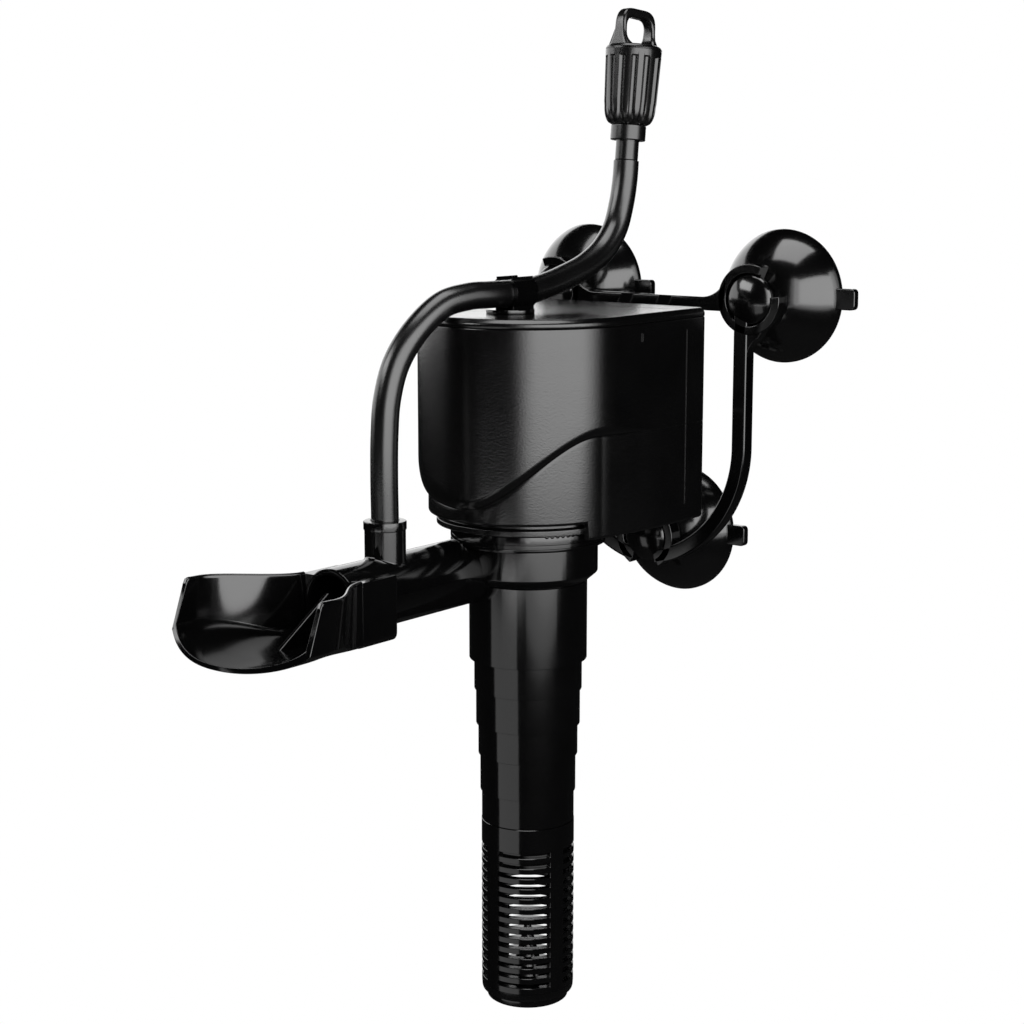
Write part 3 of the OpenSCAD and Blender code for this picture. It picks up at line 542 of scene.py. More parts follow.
GROUP_MAKERS = {Effect.GRAIN: grain_group, Effect.MARKS: marks_group,
                Effect.DRIFT: drift_group, Effect.BANDS: bands_group}


def group_node(tree: Tree, effect: Effect, vector: Socket, **values: object) -> Socket:
    """Places an effect in a material.

    Args:
        tree: The material's node tree.
        effect: The effect.
        vector: Place to read.
        values: The effect's own values, by lower-case input name.

    Returns:
        The effect's output.
    """
    node = tree.nodes.new("ShaderNodeGroup")
    group = bpy.data.node_groups.get(effect.value)
    node.node_tree = group if group else GROUP_MAKERS[effect]()
    tree.links.new(vector, node.inputs["Vector"])
    for name, value in values.items():
        feed(tree, value, node.inputs[name.capitalize()])
    return node.outputs[0]


@dataclass(frozen=True)
class Finish:
    """One finish: its tones, its gloss and its surface.

    Colours are linear and lengths are in millimetres.
    """

    slot: str
    tone: Spot
    other: Spot
    roughness: float = 0.3
    spread: float = 0.1
    grain: float = 2600.0
    depth: float = 0.006
    waviness: float = 0.5
    drift: float = 60.0
    specular: float = 0.5
    metallic: float = 0.0
    sheen: float = 0.0
    band: float = 0.0
    band_grain: float = 0.05
    band_depth: float = 0.3
    band_turn: Spot = (0.0, 0.0, 0.0)
    band_tone: Spot = (0.0, 0.0, 0.0)

    def material(self) -> bpy.types.Material:
        """Gives the finish's material, made on first use.

        Returns:
            The material.
        """
        made = bpy.data.materials.get(self.slot + "_finish")
        if made:
            return made
        material = bpy.data.materials.new(self.slot + "_finish")
        material.use_nodes = True
        tree = material.node_tree
        shader = tree.nodes["Principled BSDF"]
        place = tree.nodes.new("ShaderNodeTexCoord").outputs["Object"]
        colour = group_node(tree, Effect.DRIFT, place, tone=self.tone,
                            other=self.other, scale=self.drift)
        height = group_node(tree, Effect.GRAIN, place, scale=self.grain,
                            waviness=self.waviness)
        depth = self.depth
        if self.band > 0:
            turn = tree.nodes.new("ShaderNodeMapping")
            turn.inputs["Rotation"].default_value = self.band_turn
            tree.links.new(place, turn.inputs["Vector"])
            bands = group_node(tree, Effect.BANDS, turn.outputs[0], pitch=self.band)
            colour = blended(tree, bands, self.band_tone, colour)
            height = sum_of(tree, "MULTIPLY_ADD", height, self.band_grain, bands)
            depth = self.band * self.band_depth
        bump = tree.nodes.new("ShaderNodeBump")
        gloss = group_node(tree, Effect.MARKS, place, base=self.roughness,
                           spread=self.spread)
        for node, name, value in (
                (bump, "Strength", 1.0), (bump, "Distance", depth * MM),
                (bump, "Height", height), (shader, "Normal", bump.outputs[0]),
                (shader, "Base Color", colour), (shader, "Roughness", gloss),
                (shader, "Metallic", self.metallic),
                (shader, "Specular IOR Level", self.specular),
                (shader, "Sheen Weight", self.sheen)):
            feed(tree, value, node.inputs[name])
        return material


class Coat(Enum):
    """The pump's finishes."""

    HOUSING = Finish("housing_satin", (0.0014, 0.0014, 0.0015), (0.002, 0.002, 0.0021),
                     roughness=0.2, spread=0.1, grain=1900, depth=0.03, waviness=0.2,
                     specular=0.9)
    MOULDING = Finish("moulding_gloss", (0.0012, 0.0012, 0.0013), (0.0018, 0.0018, 0.0019),
                      roughness=0.11, spread=0.08, grain=1500, depth=0.003, waviness=1.2,
                      specular=0.9)
    BRACKET = Finish("bracket_gloss", (0.0011, 0.0011, 0.0012), (0.0016, 0.0016, 0.0017),
                     roughness=0.13, spread=0.08, grain=1700, depth=0.003, waviness=1.0,
                     specular=0.9)
    CUP = Finish("cup_rubber", (0.0013, 0.0013, 0.0014), (0.002, 0.002, 0.0021),
                 roughness=0.14, spread=0.1, grain=900, depth=0.004, waviness=1.6,
                 specular=1.0)
    HOSE = Finish("hose_soft", (0.0014, 0.0014, 0.0015), (0.0022, 0.0022, 0.0023),
                  roughness=0.26, spread=0.1, grain=1400, depth=0.006, waviness=0.8,
                  specular=1.0)
    KNOB = Finish("knob_satin", (0.002, 0.002, 0.0021), (0.003, 0.003, 0.0031),
                  roughness=0.24, spread=0.1, grain=2100, depth=0.008, waviness=0.4,
                  specular=0.9)
    STEEL = Finish("steel_plates", (0.34, 0.35, 0.36), (0.42, 0.43, 0.44), roughness=0.34,
                   spread=0.2, metallic=1.0, band=0.5, band_tone=(0.08, 0.08, 0.085))
    COPPER = Finish("copper_wire", (0.62, 0.24, 0.09), (0.7, 0.3, 0.12), roughness=0.28,
                    spread=0.12, metallic=1.0, band=0.45, band_tone=(0.12, 0.035, 0.012),
                    band_turn=(math.pi / 2, 0.0, 0.0))
    BOBBIN = Finish("bobbin_white", (0.62, 0.6, 0.54), (0.68, 0.66, 0.6), roughness=0.42,
                    spread=0.1, depth=0.01)
    RESIN = Finish("resin", (0.03, 0.027, 0.022), (0.045, 0.04, 0.032), roughness=0.2,
                   spread=0.2, grain=300, depth=0.03, waviness=3.0)
    FERRITE = Finish("ferrite", (0.045, 0.047, 0.05), (0.07, 0.072, 0.075), roughness=0.45,
                     spread=0.2, grain=3200, depth=0.02, drift=400)
    CERAMIC = Finish("shaft_ceramic", (0.78, 0.77, 0.73), (0.84, 0.83, 0.79),
                     roughness=0.15, spread=0.08, grain=1200, depth=0.003)
    SEAL = Finish("seal_rubber", (0.01, 0.01, 0.01), (0.016, 0.016, 0.016),
                  roughness=0.5, spread=0.14, depth=0.012, sheen=0.08)
    IMPELLER = Finish("impeller_white", (0.74, 0.73, 0.68), (0.8, 0.79, 0.74),
                      roughness=0.33, spread=0.12, depth=0.008)


def settle(name: str, shape: Shape, coat: Coat, body: str, *nodes: str,
           crease: float = 32.0) -> bpy.types.Object:
    """Makes a finished shape a piece of the scene.

    Args:
        name: The piece's name.
        shape: The shape, in millimetres.
        coat: Its finish.
        body: The CAD body that it rides on.
        nodes: CAD nodes that it stands for.
        crease: Angle in degrees past which an edge stays sharp.

    Returns:
        The piece.
    """
    bmesh.ops.scale(shape, vec=(MM, MM, MM), verts=shape.verts)
    mesh = bpy.data.meshes.new(name)
    shape.to_mesh(mesh)
    shape.free()
    mesh.polygons.foreach_set("use_smooth", [True] * len(mesh.polygons))
    mesh.set_sharp_from_angle(angle=math.radians(crease))
    mesh.materials.append(coat.value.material())
    piece = placed(name, mesh)
    evened = piece.modifiers.new("evened", "WEIGHTED_NORMAL")
    evened.keep_sharp = True
    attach(piece, body)
    if nodes:
        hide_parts(*nodes)
    LOG.info("%s on %s: %d faces", name, body, len(mesh.polygons))
    return piece


# -------------------------------------------------------------- dimensions


@dataclass(frozen=True)
class Heights:
    """Heights and gaps that several sub-assemblies share, in millimetres."""

    strainer_h: float = 54.9
    stem_z: float = 55.0
    drum_z: float = 126.6
    drum_top: float = 137.6
    pipe_z: float = 130.0
    collar_z: float = 137.8
    base_z: float = 143.1
    skirt_z: float = 146.3
    body_z: float = 141.6
    body_top: float = 200.3
    lid_top: float = 202.9
    hose_z: float = 208.4
    pipe_x: float = -10.0
    wall_y: float = 79.4
    ring_y: float = 58.6


@dataclass(frozen=True)
class CupPlace:
    """Place of a suction cup on the wall, and the way its snap ring opens."""

    name: str
    x: float
    z: float
    mouth: float


CUP_PLACES = (CupPlace("cup_upper_left", -35.85, 204.4, 143.0),
              CupPlace("cup_upper_right", 35.85, 204.4, 37.0),
              CupPlace("cup_lower", 0.0, 129.8, -90.0))


@dataclass(frozen=True)
class CasingPlan:
    """Plan of the casing: a half round front and a square back."""

    radius: float = 31.3
    back: float = 44.3
    corner: float = 2.5

    def outline(self, inset: float = 0.0, back_inset: float | None = None) -> Line:
        """Points round the plan, from the middle of the back past the right side.

        Args:
            inset: How far the front and the sides lie inwards.
            back_inset: How far the back lies inwards; the same if left out.

        Returns:
            The same number of points for every inset.
        """
        r = self.radius - inset
        back = self.back - (inset if back_inset is None else back_inset)
        corner = max(self.corner - inset, 0.4)
        half = [(r * i / 10 - corner * i / 10, back) for i in range(10)]
        half += arc_line((r - corner, back - corner), corner, 90, 0, 6)
        stops = [back - corner - 2, 33.6, 33.4, 28, 22, 18, 14, 10, 6, 3]
        half += [(r, min(y, back - corner - 0.5)) for y in stops]
        front = arc_line((0, 0), r, 0, -90, 84)
        return half + front + [(-x, y) for x, y in reversed(half + front[:-1])][:-1]


@dataclass
class MotorCasing:
    """Satin casing with its styling line, drawn-in skirt, base, neck and saddle."""

    at: Heights
    plan: CasingPlan
    recess: float = 2.8
    nose_left: float = 9.0
    nose_right: float = 3.4
    nose_from: float = -16.0
    nose_span: float = 20.0
    wave_low: float = 8.5
    wave_rise: float = 20.0
    turn_right: float = 78.0
    turn_left: float = 189.0
    recess_end: float = 17.9
    recess_start: float = -3.97
    front_edge: float = -9.2
    wall: float = 2.2
    base_r: float = 26.2
    neck_r: float = 20.2
    bore_r: float = 18.3
    base_lip: float = 1.6
    base_lip_top: float = 1.9
    saddle_half: float = 12.5
    saddle_front: float = 43.6
    saddle_back: float = 55.8
    saddle_low: float = 149.6
    saddle_high: float = 193.5
    roof_t: float = 2.6
    rail_x: float = 7.0
    slot_web: float = 1.4
    slot_head: float = 2.55
    slot_deep: float = 50.8
    slot_shallow: float = 53.4
    parting_size: Spot = (0.34, 0.42, 50.6)
    parting_at: Point = (33.5, 172.0)
    index_size: Spot = (0.8, 0.7, 2.6)
    index_at: Point = (11.2, 196.4)

    def crease(self, x: float, y: float) -> float:
        """Height of the styling line above the casing's lower edge.

        Args:
            x: Place across, in millimetres.
            y: Place in depth, in millimetres.

        Returns:
            The height above the ground.
        """
        turn = math.degrees(math.asin(max(-1.0, min(1.0, x / self.plan.radius))))
        if y > 0:
            turn = math.copysign(90, x)
        turn = max(-84.0, min(84.0, turn))
        share = -turn / self.turn_left if turn < 0 else min(turn / self.turn_right, 1)
        rise = self.wave_rise / 2 * (1 - math.cos(math.pi * share))
        return self.at.body_z + self.wave_low + rise

    def depth(self, y: float) -> float:
        """Depth of the drawn-in skirt at a place along the sides."""
        share = (self.recess_end - y) / (self.recess_end - self.recess_start)
        return self.recess * max(0.0, min(1.0, share))

    def rows(self, x: float, y: float) -> Line:
        """Inset and height of each row of the wall, from its inside floor out.

        Args:
            x: Place across, in millimetres.
            y: Place in depth, in millimetres.

        Returns:
            The rows, each an inset and a height.
        """
        top, crease, depth = self.at.body_top, self.crease(x, y), self.depth(y)
        share = eased(max(0.0, min(1.0, (x - self.nose_from) / self.nose_span)))
        nose = self.nose_left + (self.nose_right - self.nose_left) * share
        nose = max(nose * depth / self.recess, 0.01)
        front = 1.0 if y < self.front_edge else 0.0
        low = self.at.body_z + (self.at.skirt_z - self.at.body_z) * front
        room = self.at.skirt_z + 1.2
        line = [(5.0, room), (5.0, top - 3.4), (self.wall, top - 3.3), (self.wall, top),
                (0.35, top), (0.12, top - 0.1), (0, top - 0.35), (0, top - 8)]
        line += [(0, crease + nose + (top - 8 - crease - nose) * t)
                 for t in (0.75, 0.5, 0.25, 0.08)]
        for i in range(11):
            a = math.pi / 2 * i / 10
            line.append((depth * (1 - math.cos(a)), crease + nose * (1 - math.sin(a))))
        line += [(depth + 0.08, crease - 0.12), (depth + 0.02, crease - 0.45)]
        foot = low + 0.9
        line += [(depth, crease - 1.2), (depth, (crease + foot) / 2), (depth, foot)]
        line += [(depth + 0.9 * (1 - math.cos(a)), low + 0.9 * (1 - math.sin(a)))
                 for a in (0.4, 0.8, 1.2, math.pi / 2)]
        line += [(depth + self.wall, low), (depth + self.wall, self.at.skirt_z)]
        return line

    def shell(self) -> Shape:
        """Wall of the casing, with its floor inside and out.

        Returns:
            The wall.
        """
        cuts = self.plan.outline()
        spots = len(cuts)
        lines = [self.rows(*cut) for cut in cuts]
        plans: dict[float, Line] = {}
        rows = len(lines[0]) - 1

        def place(u: float, v: float) -> Spot:
            """Point of the wall for its column and row.

            Args:
                u: Share of the way round.
                v: Share of the way along.

            Returns:
                The point.
            """
            column = round(u * spots) % spots
            row = round(v * rows)
            inset, z = lines[column][row]
            back = min(inset, self.wall) if row < 4 else inset
            key = round(inset, 5) + (1000 if back != inset else 0)
            if key not in plans:
                plans[key] = self.plan.outline(inset, back)
            x, y = plans[key][column]
            return x, y, z

        shape = draped(spots, rows, place)
        return cleaned(shape)

    def saddle(self) -> Shape:
        """Block at the back with a T-slot for each rail, closed above.

        Returns:
            The saddle.
        """
        half, front, back = self.saddle_half, self.saddle_front, self.saddle_back
        web, head = self.slot_web, self.slot_head
        deep, shallow = self.slot_deep, self.slot_shallow
        line: Line = [(-half, front), (half, front), (half, back)]
        for x in (self.rail_x, -self.rail_x):
            line += [(x + web, back), (x + web, shallow), (x + head, shallow),
                     (x + head, deep), (x - head, deep), (x - head, shallow),
                     (x - web, shallow), (x - web, back)]
        line.append((-half, back))
        slots = slab(line, self.saddle_low, self.saddle_high, 0.25)
        middle = (0, (front + back) / 2, self.saddle_high + self.roof_t / 2 - 0.05)
        roof = block((2 * half, back - front, self.roof_t), middle, 0.5)
        return merged(slots, roof)

    def neck(self) -> Shape:
        """Round base and neck under the skirt.

        Returns:
            The base with its neck.
        """
        at, lip = self.at, self.base_r - self.base_lip
        return looped([(self.bore_r, at.drum_top + 0.1), (self.neck_r, at.drum_top + 0.1),
                       (self.neck_r, at.base_z), (self.base_r, at.base_z),
                       (self.base_r, at.base_z + 1.7), (lip, at.base_z + self.base_lip_top),
                       (lip, at.skirt_z + 0.6), (self.bore_r, at.skirt_z + 0.6)], 0.25, 120)

    def build(self) -> None:
        """Builds the casing and its small ribs."""
        r = self.plan.radius
        parting = block(self.parting_size, (r, *self.parting_at), 0.12)
        index = block(self.index_size, (r - 0.05, *self.index_at), 0.15)
        settle("casing", merged(self.shell(), self.neck(), self.saddle(), parting, index),
               Coat.HOUSING, "pump", "motor_housing", crease=38)


@dataclass
class Lid:
    """Bevelled lid with its lip and a fine groove across its back."""

    at: Heights
    plan: CasingPlan
    groove_y: float = 31.0
    groove_w: float = 0.6
    groove_x: float = 26.3
    groove_deep: float = 0.45

    def shell(self) -> Shape:
        """Lid with its rolled bevel and its lip.

        Returns:
            The lid, whole.
        """
        low, top = self.at.body_top, self.at.lid_top
        rows = [(4.5, low + 0.6), (4.5, low - 3), (2.3, low - 3), (2.3, low - 0.02),
                (0.4, low - 0.02), (0.14, low + 0.08), (0, low + 0.3), (0, low + 0.9),
                (0.03, low + 1.25), (0.14, low + 1.5), (0.32, low + 1.75),
                (0.9, top - 0.26), (1.15, top - 0.08), (1.5, top)]
        plans = [self.plan.outline(inset) for inset, _ in rows]
        spots = len(plans[0])

        def place(u: float, v: float) -> Spot:
            """Point of the lid for its column and row.

            Args:
                u: Share of the way round.
                v: Share of the way along.

            Returns:
                The point.
            """
            row = round(v * (len(rows) - 1))
            x, y = plans[row][round(u * spots) % spots]
            return x, y, rows[row][1]

        return cleaned(draped(spots, len(rows) - 1, place))

    def grooved(self, shape: Shape) -> Shape:
        """Cuts the groove into the lid's top.

        Args:
            shape: The whole lid.

        Returns:
            The lid with its groove.
        """
        far = self.groove_y + self.groove_w
        cuts = [((0, self.groove_y, 0), (0, 1, 0)), ((0, far, 0), (0, 1, 0)),
                ((self.groove_x, 0, 0), (1, 0, 0)), ((-self.groove_x, 0, 0), (1, 0, 0))]
        level = self.at.lid_top - 0.01
        for spot, way in cuts:
            tops = [f for f in shape.faces if f.calc_center_median().z > level
                    and f.normal.z > 0.99]
            if way[0]:
                tops = [f for f in tops
                        if self.groove_y < f.calc_center_median().y < far]
            geom = tops + list({e for f in tops for e in f.edges})
            geom += list({v for f in tops for v in f.verts})
            bmesh.ops.bisect_plane(shape, geom=geom, plane_co=spot, plane_no=way,
                                   dist=WELD)
        strip = [f for f in shape.faces if f.normal.z > 0.99
                 and f.calc_center_median().z > level
                 and self.groove_y < f.calc_center_median().y < far
                 and abs(f.calc_center_median().x) < 1]
        if strip:
            sunk = bmesh.ops.extrude_discrete_faces(shape, faces=strip)["faces"]
            bmesh.ops.translate(shape, verts=list({v for f in sunk for v in f.verts}),
                                vec=(0, 0, -self.groove_deep))
        return shape

    def build(self) -> None:
        """Builds the lid."""
        settle("lid", self.grooved(self.shell()), Coat.HOUSING, "pump", "top_lid",
               crease=38)


@dataclass
class HoseClip:
    """Clip on a round foot that holds the air hose on the lid."""

    at: Heights
    y: float = -6.3
    length: float = 9.5
    bore_r: float = 3.85
    wall: float = 0.95
    mouth: float = 34.0
    foot_r: float = 6.8
    peg_r: float = 2.4
    peg_back: float = 2.0
    stand_w: float = 6.4
    stand_h: float = 2.6

    def build(self) -> None:
        """Builds the clip, its lips and its foot."""
        at, out_r = self.at, self.bore_r + self.wall
        start, end = 90 + self.mouth, 450 - self.mouth
        lip_in = arc_line((0, at.hose_z), self.bore_r, end, start, 40)
        ring = arc_line((0, at.hose_z), out_r, start, end, 44)
        spread = math.radians(self.mouth - 4)
        x, z = math.sin(spread), math.cos(spread)
        ring += [((out_r + 0.75) * x, at.hose_z + (out_r + 0.55) * z)]
        ring[0:0] = [(-(out_r + 0.75) * x, at.hose_z + (out_r + 0.55) * z)]
        clip = walled(slab(ring + lip_in, 0, self.length, 0.22), self.y - self.length / 2)
        seat = at.lid_top + 1.2
        foot = looped([(0.01, at.lid_top), (self.foot_r, at.lid_top), (self.foot_r, seat),
                       (0.01, seat)], 0.35, 64)
        peg = looped([(0.01, at.body_top + 0.6), (self.peg_r, at.body_top + 0.6),
                      (self.peg_r, seat), (0.01, seat)], 0.2, 32)
        stand = block((self.stand_w, self.length, self.stand_h),
                      (0, self.y, at.lid_top + 1.8), 0.3)
        for round_part in (foot, peg):
            moved(round_part, shifted(y=self.y - self.peg_back))
        settle("clip", merged(clip, foot, peg, stand), Coat.MOULDING, "pump", "hose_clip")


@dataclass
class LockCollar:
    """Ring with two fine grooves and two groups of grip teeth."""

    at: Heights
    outer_r: float = 22.25
    inner_r: float = 20.28
    height: float = 5.0
    groove: float = 0.3
    teeth: int = 7
    pitch: float = 4.1
    first: float = -39.0
    tooth: Spot = (0.9, 1.15, 1.0)
    tooth_soft: float = 0.42

    def build(self) -> None:
        """Builds the collar."""
        low, top = self.at.collar_z, self.at.collar_z + self.height
        r, inner, cut = self.outer_r, self.inner_r, self.outer_r - self.groove
        side = [(inner, low), (r - 0.35, low), (r - 0.06, low + 0.12), (r, low + 0.4),
                (r, low + 0.95), (cut, low + 1.05), (cut, low + 1.35), (r, low + 1.45),
                (r, low + 2.15), (cut, low + 2.25), (cut, low + 2.55), (r, low + 2.65),
                (r, top - 0.7), (r - 0.1, top - 0.3), (r - 0.4, top), (inner, top)]
        ring = turned(side + side[:1], 144)
        teeth = []
        for turn in [start + i * self.pitch for start in (self.first, self.first + 180)
                     for i in range(self.teeth)]:
            tooth = block(self.tooth, (r - 0.22, 0, top - 0.5), self.tooth_soft, 3)
            teeth.append(moved(tooth, spun(turn)))
        settle("collar", merged(ring, *teeth), Coat.MOULDING, "collar", "lock_collar")


@dataclass
class PumpChamber:
    """Drum with its spigots, its tangential discharge pipe and its air socket."""

    at: Heights
    drum_r: float = 20.0
    foot_r: float = 17.1
    chamfer: float = 2.5
    room_r: float = 16.5
    intake_r: float = 11.5
    spigot_r: float = 14.0
    neck_r: float = 18.2
    pipe_r: float = 9.45
    pipe_bore: float = 7.6
    mouth_y: float = -72.0
    socket_y: float = -50.2
    socket_r: float = 5.6
    socket_top: float = 149.3
    socket_floor: float = 141.45
    stem_reach: float = 17.35
    collar_reach: float = 22.85
    pipe_back: float = -10.0
    pipe_floor: float = -19.0
    hub_bore: float = 2.4
    hub_r: float = 3.8
    hub_h: float = 2.5
    arm: Point = (8.6, 1.8)
    fillet_r: float = 0.9
    fillet_wall: float = 0.3

    def drum(self) -> Shape:
        """Drum, spigots and the room for the impeller.

        Returns:
            The drum.
        """
        at, r = self.at, self.drum_r
        low, top = at.drum_z, at.drum_top
        floor = low + 2.5
        return looped([(self.intake_r, low - 8), (self.spigot_r, low - 8),
                       (self.spigot_r, low), (self.foot_r, low), (r, low + self.chamfer),
                       (r, top), (self.neck_r, top), (self.neck_r, top + 3.1),
                       (self.room_r, top + 3.1), (self.room_r, floor),
                       (self.intake_r, floor)], 0.28, 144)

    def spider(self) -> Shape:
        """Three arms that hold the lower bush across the intake.

        Returns:
            The hub with its arms.
        """
        low, bore, r, high = self.at.drum_z, self.hub_bore, self.hub_r, self.hub_h
        hub = looped([(bore, low), (r, low), (r, low + high), (bore, low + high)], 0.2, 48)
        arms = [moved(block((*self.arm, high), (7.7, 0, low + high / 2), 0.3),
                      spun(120 * i + 30)) for i in range(3)]
        return merged(hub, *arms)

    def pipe_end(self, x: float, z: float) -> float:
        """How far back the pipe runs before it meets the drum, stem or collar.

        Args:
            x: Place across, in millimetres.
            z: Height, in millimetres.

        Returns:
            The depth where it ends.
        """
        under, over, end = self.stem_reach, self.collar_reach, self.pipe_back
        if z < self.at.drum_z + 0.2 and abs(x) < under:
            end = -math.sqrt(under ** 2 - x * x)
        if z > self.at.drum_top - 0.1 and abs(x) < over:
            end = -math.sqrt(over ** 2 - x * x)
        return min(end, self.pipe_back)

    def pipe(self) -> Shape:
        """Discharge pipe with its rounded mouth and its bore.

        Returns:
            The pipe.
        """
        out, bore, mouth = self.pipe_r, self.pipe_bore, self.mouth_y
        edge = [(0.02, self.pipe_floor), (bore, self.pipe_floor), (bore, mouth + 0.5),
                (bore + 0.16, mouth + 0.13), (bore + 0.5, mouth), (out - 0.5, mouth),
                (out - 0.14, mouth + 0.14), (out, mouth + 0.5), (out, mouth + 8)]
        runs = 12
        rows = len(edge) + runs

        def place(u: float, v: float) -> Spot:
            """Point of the pipe for its turn and its row.

            Args:
                u: Share of the way round.
                v: Share of the way along.

            Returns:
                The point.
            """
            turn, row = TURN * u, round(v * rows)
            dx, dz = math.cos(turn), math.sin(turn)
            if row < len(edge):
                r, y = edge[row]
            else:
                r = out
                x, z = self.at.pipe_x + r * dx, self.at.pipe_z + r * dz
                share = (row - len(edge) + 1) / runs
                end = self.pipe_end(x, z)
                y = edge[-1][1] + (end - edge[-1][1]) * min(share, 1)
                if row == rows:
                    r = 0.02
            return self.at.pipe_x + r * dx, y, self.at.pipe_z + r * dz

        return cleaned(draped(128, rows, place))

    def socket(self) -> Shape:
        """Air socket with its bead.

        Returns:
            The socket.
        """
        r, top = self.socket_r, self.socket_top
        low = self.at.pipe_z + 6.9
        line = [(2.4, low), (r, low), (r, top - 2.5), (r + 0.18, top - 2.42),
                (r + 0.25, top - 2.25), (r + 0.25, top - 0.35), (r + 0.15, top - 0.1),
                (r - 0.1, top), (4.15, top),
                (3.85, top - 0.3), (3.85, self.socket_floor), (2.4, self.socket_floor)]
        tube = turned(line + line[:1], 96)
        return moved(tube, shifted(self.at.pipe_x, self.socket_y))

    def fillet(self) -> Shape:
        """Soft foot where the socket runs into the pipe.

        Returns:
            The fillet.
        """
        reach = self.fillet_r

        def place(u: float, v: float) -> Spot:
            """Point of the foot for its turn and its share of the curve.

            Args:
                u: Share of the way round.
                v: Share of the way along.

            Returns:
                The point.
            """
            a = math.pi / 2 * v
            out = self.socket_r - 0.05 + reach * (1 - math.cos(a)) * 1.02
            turn = TURN * u
            dx = out * math.cos(turn)
            rise = math.sqrt(self.pipe_r ** 2 - dx * dx)
            z = self.at.pipe_z + rise - 0.08 + reach * (1 - math.sin(a))
            return self.at.pipe_x + dx, self.socket_y + out * math.sin(turn), z

        shape = draped(96, 6, place)
        bmesh.ops.solidify(shape, geom=shape.faces[:], thickness=self.fillet_wall)
        return shape

    def build(self) -> None:
        """Builds the chamber."""
        whole = merged(self.drum(), self.spider(), self.pipe(), self.socket(),
                       self.fillet())
        settle("chamber", whole, Coat.MOULDING, "pump", "pump_chamber", crease=30)


@dataclass
class IntakeStem:
    """Intake tube with five steps, its socket and its spigot."""

    at: Heights
    steps: tuple[Point, ...] = ((55.0, 13.45), (63.7, 13.9), (74.6, 14.45),
                                (83.7, 15.1), (94.1, 15.6), (103.3, 17.0))
    spigot_r: float = 12.2
    bore_r: float = 10.8
    socket_r: float = 14.1
    edge: float = 0.16

    def build(self) -> None:
        """Builds the stem as one turned piece."""
        low, top = self.at.stem_z - 13, self.at.drum_z
        line: Line = [(self.bore_r, low), (self.spigot_r - 0.4, low),
                      (self.spigot_r, low + 0.6), (self.spigot_r, self.at.stem_z)]
        for base, r in self.steps:
            e = self.edge
            line += [(r - e, base), (r - 0.05, base + 0.05), (r, base + e)]
            after = [b for b, _ in self.steps if b > base]
            line.append((r, (after[0] if after else top) - (0 if after else 0.3)))
        line += [(16.7, top), (self.socket_r, top), (self.socket_r, top - 8.1),
                 (self.bore_r, top - 8.1)]
        settle("stem", turned(line + line[:1], 144), Coat.MOULDING, "pump",
               "intake_stem", crease=28)


